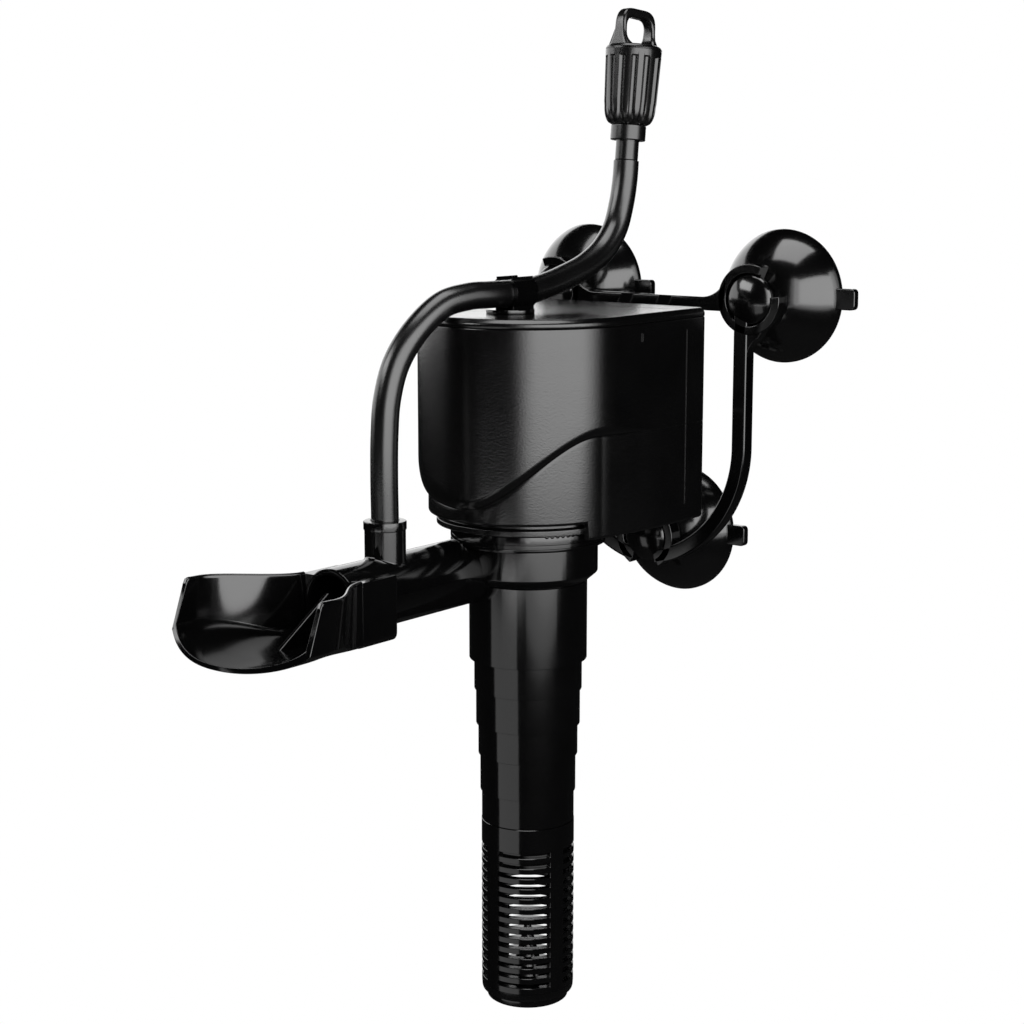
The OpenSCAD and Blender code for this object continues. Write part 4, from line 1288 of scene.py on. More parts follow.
@dataclass
class Strainer:
    """Slotted basket with its foot, its ribs and the cone inside."""

    at: Heights
    radius: float = 13.55
    wall: float = 1.25
    slot_wall: float = 2.1
    spigot_low: float = 41.5
    rib_half: float = 11.6
    rows: int = 14
    slot_start: float = 6.65
    slot_h: float = 1.4
    pitch: float = 3.05
    rib_turn: float = -13.0
    segments: int = 120
    foot_top: float = 4.8
    hole_ring: float = 9.1
    hole_r: float = 1.7
    floor_r: float = 11.1

    def basket(self) -> Shape:
        """Wall of the basket with its rows of slots.

        Returns:
            The basket.
        """
        top = self.at.strainer_h
        shape = bmesh.new()
        bmesh.ops.create_cone(shape, cap_ends=False, segments=self.segments,
                              radius1=self.radius, radius2=self.radius,
                              depth=top - self.foot_top)
        moved(shape, spun(self.rib_turn + 180 / self.segments),
              shifted(z=(top + self.foot_top) / 2))
        lows = [self.slot_start + i * self.pitch for i in range(self.rows)]
        for level in [z for low in lows for z in (low, low + self.slot_h)]:
            bmesh.ops.bisect_plane(shape, geom=shape.verts[:] + shape.edges[:]
                                   + shape.faces[:], dist=WELD, plane_co=(0, 0, level),
                                   plane_no=(0, 0, 1))
        open_faces = []
        for face in shape.faces:
            mid = face.calc_center_median()
            turn = math.degrees(math.atan2(mid.y, mid.x)) - self.rib_turn
            off = abs((turn + 45) % 90 - 45)
            if off > self.rib_half and any(low < mid.z < low + self.slot_h
                                           for low in lows):
                open_faces.append(face)
        bmesh.ops.delete(shape, geom=open_faces, context="FACES")
        for face in shape.faces:
            mid = face.calc_center_median()
            if face.normal.dot(Vector((mid.x, mid.y, 0))) < 0:
                face.normal_flip()
        bmesh.ops.solidify(shape, geom=shape.faces[:], thickness=self.wall)
        inner = self.radius - self.slot_wall
        for vert in shape.verts:
            reach = vert.co.xy.length
            if reach < self.radius - self.wall / 2 and vert.co.z < self.spigot_low:
                vert.co.xy *= inner / reach
        rims = [e for e in shape.edges if len(e.link_faces) == 2
                and e.calc_face_angle(0) > 1.2]
        rounded(shape, rims, 0.1, 1)
        return shape

    def foot(self) -> Shape:
        """Foot band and floor with eight openings.

        Returns:
            The band with its floor.
        """
        inner = self.radius - self.wall
        band = [(inner, 1.6), (11.0, 1.6), (11.0, 0), (11.6, 0.03), (11.85, 0.22),
                (11.92, 0.5), (11.97, 1.9), (12.1, 2.1), (12.9, 2.3), (13.3, 2.6),
                (13.45, 3.1), (self.radius, self.foot_top),
                (self.radius, self.foot_top + 0.02), (inner, self.foot_top + 0.02)]
        ring = turned(band + band[:1], 144)
        ring_r = self.hole_ring
        holes = [arc_line((ring_r * math.cos(a), ring_r * math.sin(a)), self.hole_r, 0, 345, 23)
                 for a in (math.radians(45 * i) for i in range(8))]
        floor = slab(arc_line((0, 0), self.floor_r, 0, 357.5, 143), 0, 1.6, 0, holes)
        return merged(ring, floor)

    def cone(self) -> Shape:
        """Cone that spreads the flow over the slots."""
        return turned([(0.0, 1.0), (6.2, 1.0), (0.75, 22.2), (0.4, 22.5), (0.0, 22.55)], 64)

    def build(self) -> None:
        """Builds the strainer."""
        settle("cone", self.cone(), Coat.HOUSING, "strainer")
        settle("basket", merged(self.basket(), self.foot()), Coat.MOULDING,
               "strainer", "strainer", crease=28)


@dataclass
class Deflector:
    """Scoop with a square-bottomed sleeve on the pipe and a fin in the stream."""

    at: Heights
    bore_r: float = 9.53
    wall: float = 1.4
    half: float = 24.5
    top: float = 8.4
    sleeve_top: float = 6.9
    rake: float = 4.0
    flare_len: float = 34.0
    bulge: float = 8.0
    corner_lift: float = 4.2
    rise: float = 1.4
    corner: float = 2.6
    sleeve_y: float = -71.4
    sleeve_len: float = 13.5
    fin_len: float = 19.5
    fin_h: float = 14.0
    widening: float = 1.2
    lifting: float = 1.3
    lift_power: float = 2.4
    corner_power: float = 10.0
    tip_from: float = 0.95
    tip_drop: float = 1.5
    flank: float = 0.2

    @property
    def outer(self) -> float:
        """Half width of the sleeve."""
        return self.bore_r + self.wall

    def flare_half(self, t: float) -> float:
        """Half width of the flare's outside at a share of its length."""
        share = eased(min(1, t * self.widening))
        return self.outer + (self.half - self.outer) * share

    def floor_point(self, t: float, side: float, inset: float) -> Vector:
        """Point of the floor, outside or inside the wall.

        Args:
            t: Share of the way out to the front.
            side: Place across, from -1 to 1.
            inset: Distance in from the outside.

        Returns:
            The point.
        """
        width = self.flare_half(t) - inset
        lift = self.rise + self.corner_lift * abs(side) ** self.lift_power
        return Vector((width * side, -t * (self.flare_len + self.bulge * (1 - side * side)),
                       inset - self.outer + eased(min(1, t * self.lifting)) * lift
                       + self.corner / 2 * abs(side) ** self.corner_power))

    def wall_point(self, t: float, side: float, inset: float) -> Vector:
        """Point of a side wall's top edge.

        Args:
            t: Share of the way out to the front.
            side: Which wall, -1 or 1.
            inset: Distance in from the outside.

        Returns:
            The point.
        """
        height = self.sleeve_top + (self.top - self.sleeve_top) * eased(t)
        past = (t - self.tip_from) / (1 - self.tip_from)
        if past > 0:
            height -= self.tip_drop * (1 - math.sqrt(max(0.0, 1 - past ** 2)))
        return Vector((side * (self.flare_half(t) - inset),
                       -t * (self.flare_len - self.rake), height))

    def skin(self, u: float, t: float, inset: float) -> Vector:
        """Point across the scoop, from one wall's top over the floor to the other's.

        Args:
            u: Share of the way across.
            t: Share of the way out to the front.
            inset: Distance in from the outside.

        Returns:
            The point.
        """
        flank = self.flank
        if u < flank or u > 1 - flank:
            side = -1.0 if u < flank else 1.0
            share = (u if u < flank else 1 - u) / flank
            high = self.wall_point(t, side, inset)
            return high.lerp(self.floor_point(t, side, inset), share)
        turn = math.pi * ((u - flank) / (1 - 2 * flank) - 0.5)
        return self.floor_point(t, math.sin(turn), inset)

    def flare(self) -> Shape:
        """Flare with a rolled rim all round.

        Returns:
            The flare.
        """
        across, along, rim = 90, 44, 5

        def place(u: float, v: float) -> Vector:
            """Point of the closed loop round the wall: outside, rim, inside.

            Args:
                u: Share of the way round.
                v: Share of the way along.

            Returns:
                The point.
            """
            total = 2 * across + 2 * rim
            step = round(u * total) % total
            if step <= across:
                return self.skin(step / across, v, 0)
            step -= across
            if step < rim:
                return self.rolled(1.0, v, step / rim)
            step -= rim
            if step <= across:
                return self.skin(1 - step / across, v, self.wall)
            return self.rolled(0.0, v, 1 - (step - across) / rim)

        shape = draped(2 * across + 2 * rim, along, place)
        rings = [e for e in shape.edges if e.is_boundary]
        front = [e for e in rings if e.verts[0].co.y < -self.flare_len / 2]
        back = [e for e in rings if e not in front]
        bmesh.ops.holes_fill(shape, edges=back, sides=0)
        self.close_front(shape, front, across, rim)
        return faced(shape)

    def rolled(self, u: float, t: float, share: float) -> Vector:
        """Point on the half round that caps a side wall's top.

        Args:
            u: Share of the way across.
            t: Share of the way out to the front.
            share: Share of the half round.

        Returns:
            The point.
        """
        outside, inside = self.skin(u, t, 0), self.skin(u, t, self.wall)
        mid, half = (outside + inside) / 2, (outside - inside) / 2
        turn = math.pi * share
        lift = Vector((0, 0, half.length * 0.7 * math.sin(turn)))
        return mid + half * math.cos(turn) + lift

    def close_front(self, shape: Shape, edges: list, across: int, rim: int) -> None:
        """Closes the front rim and rounds it.

        Args:
            shape: The flare, open in front.
            edges: The edges of its front rim.
            across: Steps across the scoop.
            rim: Steps round a wall's top; not used.
        """
        verts = sorted({v for e in edges for v in e.verts}, key=lambda v: v.index)
        pairs = []
        for u in range(across + 1):
            low = self.skin(u / across, 1, 0)
            high = self.skin(u / across, 1, self.wall)
            pairs.append((min(verts, key=lambda v: (v.co - low).length),
                          min(verts, key=lambda v: (v.co - high).length)))
        rungs = []
        for a, b in pairs:
            found = shape.edges.get((a, b))
            rungs.append(found if found else shape.edges.new((a, b)))
        bmesh.ops.edgenet_fill(shape, edges=edges + rungs)
        bars = [e for e in edges if e.is_valid and len(e.link_faces) == 2]
        rounded(shape, bars, 0.35, 3)

    def sleeve(self) -> Shape:
        """Square-bottomed sleeve that grips the pipe, open at its top.

        Returns:
            The sleeve.
        """
        out, top = self.outer, self.sleeve_top
        reach = math.degrees(math.asin(top / self.bore_r))
        outer = [(-out, top)] + softened([(-out, top), (-out, -out), (out, -out),
                                          (out, top)], self.corner, 8)[1:-1] + [(out, top)]
        inner = arc_line((0, 0), self.bore_r, reach, -180 - reach, 72)
        return walled(slab(outer + inner, 0, self.sleeve_len, 0.3))

    def fin(self) -> Shape:
        """Upright fin that splits the stream.

        Returns:
            The fin.
        """
        line = [(-1.5, 0.5), (self.fin_len, 0.5), (self.fin_len, 1.9), (0.8, self.fin_h),
                (-0.2, self.fin_h), (-1.5, self.fin_h - 1.2)]
        shape = slab(softened(line, 0.9, 4, closed=True), -0.6, 0.6, 0.3, segments=3)
        return faced(moved(shape, FORWARDS, shifted(y=-1.0, z=-self.outer + 0.2)))

    def build(self) -> None:
        """Builds the deflector round the discharge pipe."""
        whole = merged(self.sleeve(), self.flare(), self.fin())
        moved(whole, shifted(self.at.pipe_x, self.sleeve_y, self.at.pipe_z))
        settle("scoop", whole, Coat.MOULDING, "deflector", "deflector", crease=40)


@dataclass
class AirHose:
    """Soft hose from the socket over the lid to the regulator."""

    radius: float = 3.75
    bore_r: float = 2.4
    soft: float = 0.3
    route: tuple[Spot, ...] = (
        (-10, -50.2, 142.0), (-10, -50.2, 150.0), (-10, -50.3, 161.0), (-10, -50.0, 172.0),
        (-9.8, -49.0, 182.0), (-9, -46.0, 191.5), (-7, -40.5, 199.7), (-4.6, -32.4, 206.2),
        (-2.3, -24.0, 208.2), (-0.6, -17.0, 208.4), (0, -11.5, 208.4), (0, -6, 208.4),
        (0, 0, 208.5), (0, 9, 209.8), (0, 18, 211.8), (0, 27, 214.4), (0, 35.4, 218.6),
        (0, 41.6, 224.6), (0, 44.9, 232.0), (0, 46.6, 239.0), (0, 47.2, 244.4))

    def build(self) -> None:
        """Builds the hose as a tube whose ends are filled flat."""
        path = smooth_route(self.route, 8)
        last, edge, out = len(path) - 1, self.radius - self.soft, self.soft / 2
        stations = [(self.bore_r, 0, 0.0), (edge, 0, 0.0)]
        stations += [(self.radius, i, 0.0) for i in range(len(path))]
        stations += [(edge, last, out), (self.bore_r, last, out)]
        rows = len(stations) - 1

        def place(u: float, v: float) -> Vector:
            """Point of the tube for its turn and its station.

            Args:
                u: Share of the way round.
                v: Share of the way along.

            Returns:
                The point.
            """
            r, i, ahead = stations[round(v * rows)]
            along = (path[min(i + 1, last)] - path[max(i - 1, 0)]).normalized()
            over = along.cross(Vector((1, 0, 0))).normalized()
            side = over.cross(along)
            turn = TURN * u
            return path[i] + along * ahead + (side * math.cos(turn)
                                              + over * math.sin(turn)) * r

        settle("hose", cleaned(draped(32, rows, place)), Coat.HOSE, "pump", "air_hose",
               crease=40)


@dataclass
class Regulator:
    """Valve in the hose's end with its fluted cap and hanging loop."""

    base: Spot = (0.0, 47.2, 244.6)
    lean: float = 6.0
    stub_r: float = 3.4
    valve_r: float = 5.2
    cap_z: float = 10.15
    taper: float = 2.6
    low_r: float = 7.6
    top_r: float = 8.3
    barrel_h: float = 19.5
    flutes: int = 14
    flute_r: float = 1.15
    loop_w: float = 14.0
    loop_h: float = 11.5
    loop_t: float = 3.3
    loop_foot_t: float = 8.6
    loop_turn: float = -8.0
    loop_bar: float = 1.7
    bowl: float = 5.2
    room_r: float = 3.28
    room_h: float = 12.2
    loop_corner: float = 4.4
    loop_inner: float = 3.2
    swell_h: float = 5.5
    swell: float = 0.45

    def stood(self, shape: Shape) -> Shape:
        """Stands a shape on the hose's end."""
        return moved(shape, spun(-self.lean, "X"), shifted(*self.base))

    def valve(self) -> Shape:
        """Stub, seat and stem of the valve."""
        r, seat = self.stub_r, self.valve_r
        return looped([(1.2, -6), (2.25, -6), (2.25, 0), (r, 0), (r, 5.8), (seat, 5.8),
                       (seat, 10.0), (3.2, 10.0), (3.2, 21), (1.2, 21)], 0.25, 64)

    def flute(self, turn: float, height: float, r: float) -> float:
        """Radius of the barrel, less the flute at a turn and a height.

        Args:
            turn: Turn round the cap, in radians.
            height: Height above the foot.
            r: Radius of the barrel there.

        Returns:
            The radius.
        """
        pitch = TURN / self.flutes
        off = (turn + pitch / 2) % pitch - pitch / 2
        high = self.barrel_h - 2.4
        fade = max(0.0, min(1.0, (high - height) / 0.35))
        centre = r + 0.45
        side = centre * math.sin(off)
        if abs(side) >= self.flute_r or fade <= 0:
            return r
        cut = centre * math.cos(off) - math.sqrt(self.flute_r ** 2 - side * side)
        return r - max(0.0, r - cut) * math.sqrt(fade)

    def cap(self) -> Shape:
        """Fluted cap with its rounded foot, its rim and its bore.

        Returns:
            The cap.
        """
        base, top = self.cap_z + self.taper, self.cap_z + self.taper + self.barrel_h
        rows: list[tuple[float, float, bool]] = [
            (0.02, self.cap_z + self.room_h, False),
            (self.room_r, self.cap_z + self.room_h, False),
            (self.room_r, self.cap_z, False), (5.0, self.cap_z, False),
            (self.valve_r + 0.05, self.cap_z + 0.15, False)]
        foot_r = self.valve_r + 0.15
        for i in range(1, 11):
            a = math.pi / 2 * i / 10
            rows.append((foot_r + (self.low_r - foot_r) * math.sin(a),
                         self.cap_z + 0.3 + self.bowl * (1 - math.cos(a)), True))
        start = self.cap_z + 0.3 + self.bowl - base
        levels = [start + (self.barrel_h - 3.4 - start) * i / 12 for i in range(1, 13)]
        levels += [self.barrel_h - 3.4 + 0.13 * i for i in range(1, 9)]
        for level in levels:
            r = self.low_r + (self.top_r - self.low_r) * level / self.barrel_h
            rows.append((r, base + level, True))
        rows += [(self.top_r, top - 0.62, False), (self.top_r - 0.12, top - 0.5, False),
                 (self.top_r - 0.14, top - 0.34, False), (self.top_r - 0.02, top - 0.24, False),
                 (self.top_r - 0.05, top + 0.05, False), (self.top_r - 0.4, top + 0.6, False),
                 (self.top_r - 0.9, top + 0.85, False), (0.02, top + 1.1, False)]

        def place(u: float, v: float) -> Spot:
            """Point of the cap for its turn and its row.

            Args:
                u: Share of the way round.
                v: Share of the way along.

            Returns:
                The point.
            """
            r, z, grooved = rows[round(v * (len(rows) - 1))]
            turn = TURN * u
            if grooved:
                r = self.flute(turn, z - base, r)
            return r * math.cos(turn), r * math.sin(turn), z

        return cleaned(draped(self.flutes * 20, len(rows) - 1, place))

    def loop(self) -> Shape:
        """Hanging loop that swells out where it grows from the cap.

        Returns:
            The loop.
        """
        half, bar, high = self.loop_w / 2, self.loop_bar, self.loop_h
        outline = softened([(-half, -5), (half, -5), (half, high), (-half, high)],
                           self.loop_corner, 8, closed=True)
        hole = softened([(-half + bar, 0.9), (half - bar, 0.9), (half - bar, high - 2.7),
                         (-half + bar, high - 2.7)], self.loop_inner, 8, closed=True)
        shape = slab(outline, -self.loop_t / 2, self.loop_t / 2, 0.75, [hole], segments=4)
        edges = [e for e in shape.edges if e.calc_length() > 1.2]
        bmesh.ops.subdivide_edges(shape, edges=edges, cuts=3, use_grid_fill=False)
        spread, limit = self.loop_foot_t / self.loop_t - 1, self.top_r - 0.5
        for vert in shape.verts:
            near = min(1.0, max(0.0, 1 - vert.co.y / self.swell_h))
            slim = min(1.0, max(0.0, 1 - vert.co.y / high))
            vert.co.z *= 1 + self.swell * slim + spread * near ** 3
            reach = math.hypot(vert.co.x, vert.co.z)
            if vert.co.y < 0.6 and reach > limit:
                vert.co.x *= limit / reach
                vert.co.z *= limit / reach
        bmesh.ops.triangulate(shape, faces=[f for f in shape.faces if len(f.verts) > 4])
        return moved(shape, SIDEWAYS, spun(self.loop_turn),
                     shifted(z=self.cap_z + self.taper + self.barrel_h))

    def build(self) -> None:
        """Builds the valve and its cap."""
        settle("valve", self.stood(self.valve()), Coat.KNOB, "pump", "regulator_body")
        settle("cap", self.stood(merged(self.cap(), self.loop())), Coat.KNOB, "knob",
               "regulator_knob", crease=34)


@dataclass
class Bracket:
    """Bar, two rails, two bent arms and three snap rings."""

    at: Heights
    cups: tuple[CupPlace, ...] = CUP_PLACES
    depth: float = 4.8
    ring_r: float = 10.4
    hole_r: float = 5.08
    seat_r: float = 7.8
    seat_deep: float = 2.0
    mouth: float = 60.0
    arm_w: float = 4.6
    arm_x: float = 33.3
    bend_r: float = 37.0
    bend_z: float = 160.0
    bar_low: float = 200.6
    bar_top: float = 204.6
    rail_x: float = 7.0
    rail_w: float = 4.7
    rail_low: float = 170.6
    rail_top: float = 193.4
    rail_web: float = 2.4
    rail_head: float = 2.2
    root_reach: float = 7.0
    root_low: float = 17.5
    root_turn: float = 62.0
    bar_root: float = 9.0
    bar_turn: float = 68.0
    arm_top: float = 199.5

    def snap_ring(self, cup: CupPlace) -> Shape:
        """Snap ring with its mouth and the recess for a button head.

        Args:
            cup: Place of the cup that snaps in.

        Returns:
            The ring, open at its mouth.
        """
        out, hole, seat, soft = self.ring_r, self.hole_r, self.seat_r, 0.3
        deep, step = self.depth, self.seat_deep
        section = softened([(hole, step), (seat, step), (seat, 0), (out, 0),
                            (out, deep), (hole, deep)], soft, 3, closed=True)
        shape = bmesh.new()
        spots = [shape.verts.new((r, 0, h)) for r, h in section]
        bmesh.ops.holes_fill(shape, edges=[shape.edges.new(pair) for pair
                                           in zip(spots, spots[1:] + spots[:1])], sides=0)
        span = math.radians(360 - self.mouth)
        bmesh.ops.spin(shape, geom=shape.verts[:] + shape.edges[:] + shape.faces[:],
                       cent=(0, 0, 0), axis=(0, 0, 1), dvec=(0, 0, 0), angle=span,
                       steps=80, use_merge=False)
        cleaned(shape)
        ends = [e for e in shape.edges if len(e.link_faces) == 2
                and any(len(f.verts) > 8 for f in e.link_faces)]
        rounded(shape, ends, soft, 3)
        moved(shape, spun(cup.mouth + self.mouth / 2), shifted(cup.x, cup.z))
        return walled(shape, self.at.ring_y)

    def arm(self, side: int) -> Shape:
        """Arm that runs down from an upper ring and bends in to the lower one.

        Args:
            side: Which arm, -1 or 1.

        Returns:
            The arm.
        """
        half, soft = self.arm_w / 2, 0.7
        centre = self.arm_x - self.bend_r
        start = -math.degrees(math.acos(-centre / self.bend_r))
        path = [(self.arm_x, self.arm_top - 2.0 * i, 0.0) for i in range(20)]
        for i in range(41):
            turn = math.radians((start + 6) * i / 40)
            path.append((centre + self.bend_r * math.cos(turn),
                         self.bend_z + self.bend_r * math.sin(turn), turn))
        section = softened([(-half, 0), (half, 0), (half, self.depth),
                            (-half, self.depth)], soft, 4, closed=True)
        rows = len(path) - 1

        def place(u: float, v: float) -> Spot:
            """Point of the arm for its place round the section and along it.

            Args:
                u: Share of the way round.
                v: Share of the way along.

            Returns:
                The point.
            """
            across, y = section[round(u * len(section)) % len(section)]
            x, z, turn = path[round(v * rows)]
            return (side * (x + across * math.cos(turn)), self.at.ring_y + y,
                    z + across * math.sin(turn))

        return cleaned(draped(len(section), rows, place))

    def arm_root(self, side: int) -> Shape:
        """Hollow-cornered root where an arm runs into its upper ring.

        Args:
            side: Which arm, -1 or 1.

        Returns:
            The root.
        """
        x, z = self.cups[1].x, self.cups[1].z
        half, reach = self.arm_w / 2, self.root_reach
        line: Line = []
        for hand in (1, -1):
            edge = self.arm_x + hand * half
            flare = reach if hand > 0 else 0.5
            curve = [(edge + hand * flare * (1 - math.cos(a)),
                      z - self.root_low + reach * math.sin(a))
                     for a in (math.radians(self.root_turn * i / 8) for i in range(9))]
            line += curve if hand > 0 else curve[::-1]
            if hand > 0:
                line += [(x + 6.0, z - 7.6), (x - 4.5, z - 8.8)]
        shape = slab([(side * a, b) for a, b in line], 0.5, self.depth - 0.5, 0.45,
                     segments=3)
        return walled(shape, self.at.ring_y)

    def bar(self) -> Shape:
        """Bar between the upper rings with its hollow-cornered roots.

        Returns:
            The bar.
        """
        low, top = self.bar_low, self.bar_top
        inner = self.cups[1].x - self.ring_r
        r = self.bar_root
        curve = [(inner - 6 + r * math.sin(a), top + r - r * math.cos(a))
                 for a in (math.radians(self.bar_turn * i / 10) for i in range(11))]
        right = [(inner + 2, low)] + [(inner + 3.2, top + 5.4)] + curve[::-1]
        line = right + [(-x, z) for x, z in reversed(right)]
        return walled(slab(line, 0, self.depth, 0.45, segments=3), self.at.ring_y)

    def rail(self, side: int) -> Shape:
        """T-shaped rail that hangs from the bar.

        Args:
            side: Which rail, -1 or 1.

        Returns:
            The rail.
        """
        x, w = side * self.rail_x, self.rail_w
        back, low, high = self.at.ring_y, self.rail_low, self.bar_top
        strip = slab([(back - 1.6, low), (back + 1, low), (back + 1, high - 0.1),
                      (back - 0.1, high - 0.05), (back - 2.6, high - 3.4),
                      (back - 2.6, high - 4.0), (back - 1.6, high - 4.6)],
                     -w / 2, w / 2, 0.2)
        faced(moved(strip, SIDEWAYS, shifted(x=x)))
        tall, middle = self.rail_top - low, (self.rail_top + low) / 2
        web = block((self.rail_web, 7.0, tall), (x, back - 4.6, middle), 0.15)
        head = block((w, self.rail_head, tall), (x, back - 6.5, middle), 0.3)
        return merged(strip, web, head)

    def build(self) -> None:
        """Builds the bracket as one moulding."""
        parts = [self.bar(), self.arm(1), self.arm(-1), self.rail(1), self.rail(-1),
                 self.arm_root(1), self.arm_root(-1)]
        parts += [self.snap_ring(cup) for cup in self.cups]
        settle("holder", merged(*parts), Coat.BRACKET, "bracket", "bracket", crease=34)


@dataclass
class SuctionCup:
    """Suction cup with its button head, neck and pull tab."""

    at: Heights
    place: CupPlace
    radius: float = 20.0
    height: float = 15.0
    rim: float = 1.0
    lip: float = 1.2
    wall: float = 3.0
    neck_r: float = 5.0
    head_r: float = 7.5
    tab_reach: float = 25.2
    tab_root: float = 2.2
    tab_w: float = 6.3
    tab_t: float = 2.6
    seat_in: float = 1.8
    head_out: float = 1.6
    dome_ball: float = 14.0
    dome_r: float = 6.9

    def cap_line(self, rise: float, half: float, start: float, steps: int) -> Line:
        """Points down a ball's cap from its top to its edge.

        Args:
            rise: Height of the cap.
            half: Radius of its edge.
            start: Height of its top.
            steps: Steps along it.

        Returns:
            The points.
        """
        ball = (half * half + rise * rise) / (2 * rise)
        reach = math.asin(half / ball)
        return [(ball * math.sin(reach * i / steps),
                 start + ball * (1 - math.cos(reach * i / steps)))
                for i in range(steps + 1)]

    def bell(self) -> Shape:
        """Thin bell, neck and domed head in one turned profile.

        Returns:
            The bell.
        """
        base = self.at.wall_y - self.height
        outer = self.cap_line(self.height - self.rim, self.radius, 0, 36)
        inner = self.cap_line(self.height - self.wall, self.radius - self.lip,
                              self.wall, 30)
        seat = self.at.ring_y + self.seat_in - base
        front = self.at.ring_y - self.head_out - base
        ball, reach = self.dome_ball, math.asin(self.dome_r / self.dome_ball)
        dome = [(ball * math.sin(a), front + ball * (1 - math.cos(a)))
                for a in (reach * i / 10 for i in range(11))]
        head = dome + [(7.25, front + 2.15), (7.45, front + 2.5), (self.head_r, seat - 0.5),
                       (self.head_r - 0.15, seat - 0.12), (self.head_r - 0.5, seat)]
        neck = [(self.neck_r, seat), (self.neck_r, 0.9), (self.neck_r + 0.25, 1.25)]
        skin = [(r, h) for r, h in outer if r > self.neck_r + 0.7]
        rim = [(self.radius, self.height - 0.25), (self.radius - 0.2, self.height),
               (self.radius - self.lip + 0.1, self.height)]
        line = head + neck + skin[:-1] + [(self.radius, self.height - self.rim + 0.05)]
        bell = turned(line + rim + inner[::-1], 128)
        return moved(bell, ALONG_Y, shifted(y=base))

    def tab(self) -> Shape:
        """Pull tab on the cup's rim.

        Returns:
            The tab.
        """
        inner, outer = self.radius - self.tab_root, self.tab_reach
        half = self.tab_w / 2
        line = softened([(inner, -half), (outer, -half), (outer, half), (inner, half)],
                        1.5, 5, closed=True)
        return walled(slab(line, 0, self.tab_t, 0.35, segments=3),
                      self.at.wall_y - self.tab_t - 0.2)

    def build(self) -> None:
        """Builds the cup."""
        cup = self.place
        whole = moved(merged(self.bell(), self.tab()), shifted(x=cup.x, z=cup.z))
        settle(cup.name + "_bell", whole, Coat.CUP, cup.name, cup.name, crease=42)


@dataclass
class CordGland:
    """Tapered grommet at the casing's back."""

    x: float = -22.0
    y: float = 44.3
    z: float = 186.3

    def build(self) -> None:
        """Builds the gland with its ribs."""
        line = [(2.6, -2.2), (3.75, -2.2), (3.75, 0.05), (5.0, 0.05), (5.0, 1.5)]
        for i in range(4):
            low, r = 2.0 + 1.3 * i, 4.85 - 0.17 * i
            line += [(r - 0.45, low - 0.1), (r - 0.45, low + 0.4), (r, low + 0.5),
                     (r - 0.04, low + 1.1)]
        line += [(4.0, 7.2), (3.8, 7.5), (2.6, 7.5)]
        gland = moved(turned(line + line[:1], 64), ALONG_Y, shifted(self.x, self.y, self.z))
        settle("gland", gland, Coat.SEAL, "pump", "cord_gland", crease=36)


@dataclass
class InnerWorks:
    """Finishes of the CAD nodes that show as they are."""

    coats: tuple[tuple[str, Coat], ...] = (
        ("potting_slab", Coat.RESIN), ("stator_core", Coat.STEEL),
        ("bobbin_left", Coat.BOBBIN), ("bobbin_right", Coat.BOBBIN),
        ("coil_left", Coat.COPPER), ("coil_right", Coat.COPPER),
        ("rotor_can", Coat.MOULDING), ("upper_bush", Coat.SEAL),
        ("lower_bush", Coat.SEAL), ("thrust_washer", Coat.CERAMIC),
        ("shaft", Coat.CERAMIC), ("rotor_magnet", Coat.FERRITE),
        ("impeller", Coat.IMPELLER), ("chamber_seal", Coat.SEAL))

    def build(self) -> None:
        """Gives each inner node its finish."""
        for node, coat in self.coats:
            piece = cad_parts[node]
            for slot in piece.material_slots:
                slot.material = coat.value.material()
            LOG.info("%s dressed as %s", node, coat.name)


# ------------------------------------------------------------------ studio


@dataclass(frozen=True)
class Softbox:
    """Upright panel lamp that faces the pump.

    Azimuths are in degrees round the rotor's axis and heights in metres.  The
    level is the panel's brightness, where 1 is white.
    """

    name: str
    start: float
    end: float
    low: float
    high: float
    level: float
    distance: float = 0.9

    def build(self) -> None:
        """Hangs the lamp."""
        half = math.radians(self.end - self.start) / 2
        turn = math.radians(self.end + self.start) / 2
        lamp = bpy.data.lights.new(self.name, "AREA")
        lamp.shape = "RECTANGLE"
        lamp.size = 2 * self.distance * math.tan(half)
        lamp.size_y = self.high - self.low
        lamp.energy = self.level * math.pi * lamp.size * lamp.size_y
        way = Vector((math.cos(turn), math.sin(turn), 0))
        spot = way * self.distance + Vector((0, 0, (self.low + self.high) / 2))
        look = (-way).to_track_quat("-Z", "Y").to_matrix().to_4x4()
        holder = placed(self.name, lamp)
        holder.matrix_world = Matrix.Translation(spot) @ look
        holder.visible_camera = False


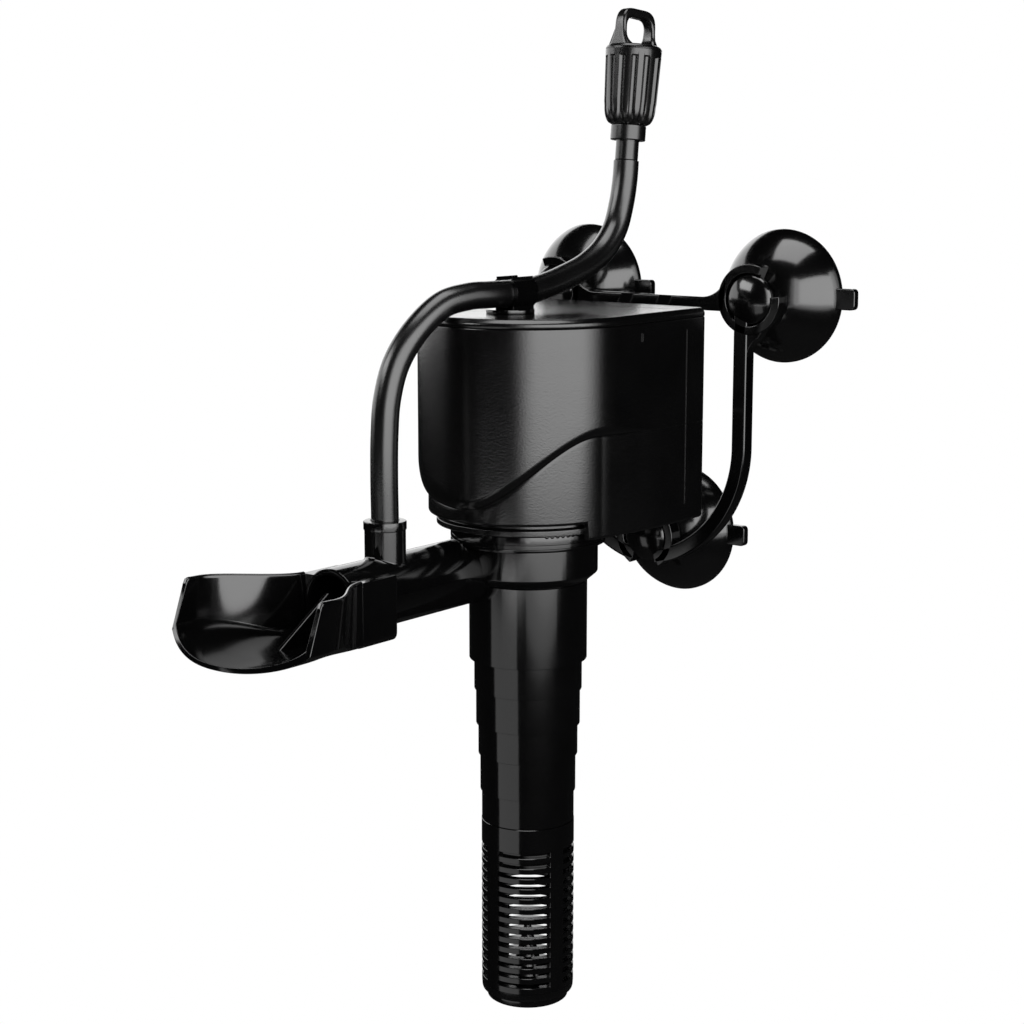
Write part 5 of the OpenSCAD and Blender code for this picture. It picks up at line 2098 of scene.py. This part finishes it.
@dataclass
class Studio:
    """Camera, lamps, pale floor and white surroundings."""

    floor_z: float = -0.62
    boxes: tuple[Softbox, ...] = (
        Softbox("key", -50.0, 9.0, 0.0, 0.75, 3.3),
        Softbox("key_left", -57.0, -50.0, 0.0, 0.75, 2.2),
        Softbox("key_left_edge", -63.0, -57.0, 0.0, 0.75, 0.9),
        Softbox("key_right", 9.0, 17.0, 0.0, 0.75, 2.2),
        Softbox("key_right_edge", 17.0, 24.0, 0.0, 0.75, 0.9),
        Softbox("left_high", -150.0, -108.0, 0.5, 0.85, 4.0),
        Softbox("key_foot", -55.0, 12.0, -0.08, 0.0, 1.5),
        Softbox("key_hem", -56.0, 5.0, -0.13, -0.08, 0.8),
        Softbox("side", -128.0, -74.0, -0.5, -0.075, 0.6),
        Softbox("side_head", -104.0, -55.0, -0.075, -0.045, 2.0),
        Softbox("backdrop", 105.0, 215.0, 0.12, 0.7, 1.6))
    overhead: float = 3.0
    overhead_size: float = 0.7
    overhead_spot: Spot = (0.05, -0.12, 1.1)
    lens_mm: float = 70.286
    sensor_mm: float = 36.0
    camera_spot: Spot = (0.343888, -0.445715, 0.246064)
    camera_turn: Spot = (79.88, 0.0, 38.125)
    matt_level: float = 0.3
    floor_half: float = 4.0
    floor_tone: float = 0.8
    floor_dark: float = 0.02
    floor_rough: float = 0.9

    def hang_overhead(self) -> None:
        """Hangs the square lamp over the pump."""
        lamp = bpy.data.lights.new("overhead", "AREA")
        lamp.size = self.overhead_size
        lamp.energy = self.overhead * math.pi * self.overhead_size ** 2
        holder = placed("overhead", lamp)
        holder.location = self.overhead_spot
        holder.visible_camera = False

    def camera(self) -> None:
        """Sets up the camera."""
        lens = bpy.data.cameras.new("camera")
        lens.sensor_width, lens.lens = self.sensor_mm, self.lens_mm
        lens.clip_start, lens.clip_end = 0.01, 20.0
        holder = placed("camera", lens)
        holder.location = self.camera_spot
        holder.rotation_euler = [math.radians(a) for a in self.camera_turn]
        bpy.context.scene.camera = holder

    def surroundings(self) -> None:
        """White to the camera, dark to gloss, dim to the rest."""
        world = bpy.data.worlds.new("surroundings")
        bpy.context.scene.world = world
        world.use_nodes = True
        tree = world.node_tree
        path = tree.nodes.new("ShaderNodeLightPath")
        matt = sum_of(tree, "SUBTRACT", 1.0, path.outputs["Is Glossy Ray"])
        dim = sum_of(tree, "MULTIPLY_ADD", matt, self.matt_level, 0.0)
        level = sum_of(tree, "MAXIMUM", path.outputs["Is Camera Ray"], dim)
        ground = tree.nodes["Background"]
        ground.inputs["Color"].default_value = (1, 1, 1, 1)
        tree.links.new(level, ground.inputs["Strength"])

    def floor_finish(self) -> bpy.types.Material:
        """Material that is white to the camera, pale to the rest and dark to gloss.

        Returns:
            The material.
        """
        material = bpy.data.materials.new("pale_floor")
        material.use_nodes = True
        tree = material.node_tree
        shader = tree.nodes["Principled BSDF"]
        shader.inputs["Roughness"].default_value = self.floor_rough
        path = tree.nodes.new("ShaderNodeLightPath")
        tone = blended(tree, path.outputs["Is Glossy Ray"], (self.floor_tone,) * 3,
                       (self.floor_dark,) * 3)
        tree.links.new(tone, shader.inputs["Base Color"])
        glow = tree.nodes.new("ShaderNodeEmission")
        mix = tree.nodes.new("ShaderNodeMixShader")
        tree.links.new(path.outputs["Is Camera Ray"], mix.inputs[0])
        tree.links.new(shader.outputs[0], mix.inputs[1])
        tree.links.new(glow.outputs[0], mix.inputs[2])
        tree.links.new(mix.outputs[0], tree.nodes["Material Output"].inputs["Surface"])
        return material

    def floor(self) -> None:
        """Lays the pale floor."""
        shape = bmesh.new()
        bmesh.ops.create_grid(shape, x_segments=2, y_segments=2, size=self.floor_half)
        bmesh.ops.translate(shape, verts=shape.verts, vec=(0, 0, self.floor_z))
        mesh = bpy.data.meshes.new("floor")
        shape.to_mesh(mesh)
        shape.free()
        mesh.materials.append(self.floor_finish())
        floor = placed("floor", mesh)

    def build(self) -> None:
        """Builds the whole studio."""
        bpy.context.scene.view_settings.view_transform = "Standard"
        self.camera()
        self.surroundings()
        self.floor()
        self.hang_overhead()
        for box in self.boxes:
            box.build()


def main() -> None:
    """Builds the pump's pieces in order."""
    logging.basicConfig(level=logging.INFO, format="%(name)s: %(message)s")
    at, plan = Heights(), CasingPlan()
    Studio().build()
    MotorCasing(at, plan).build()
    Lid(at, plan).build()
    HoseClip(at).build()
    LockCollar(at).build()
    PumpChamber(at).build()
    IntakeStem(at).build()
    Strainer(at).build()
    Deflector(at).build()
    AirHose().build()
    Regulator().build()
    Bracket(at).build()
    for cup in CUP_PLACES:
        SuctionCup(at, cup).build()
    CordGland().build()
    InnerWorks().build()


if __name__ == "__main__":
    main()
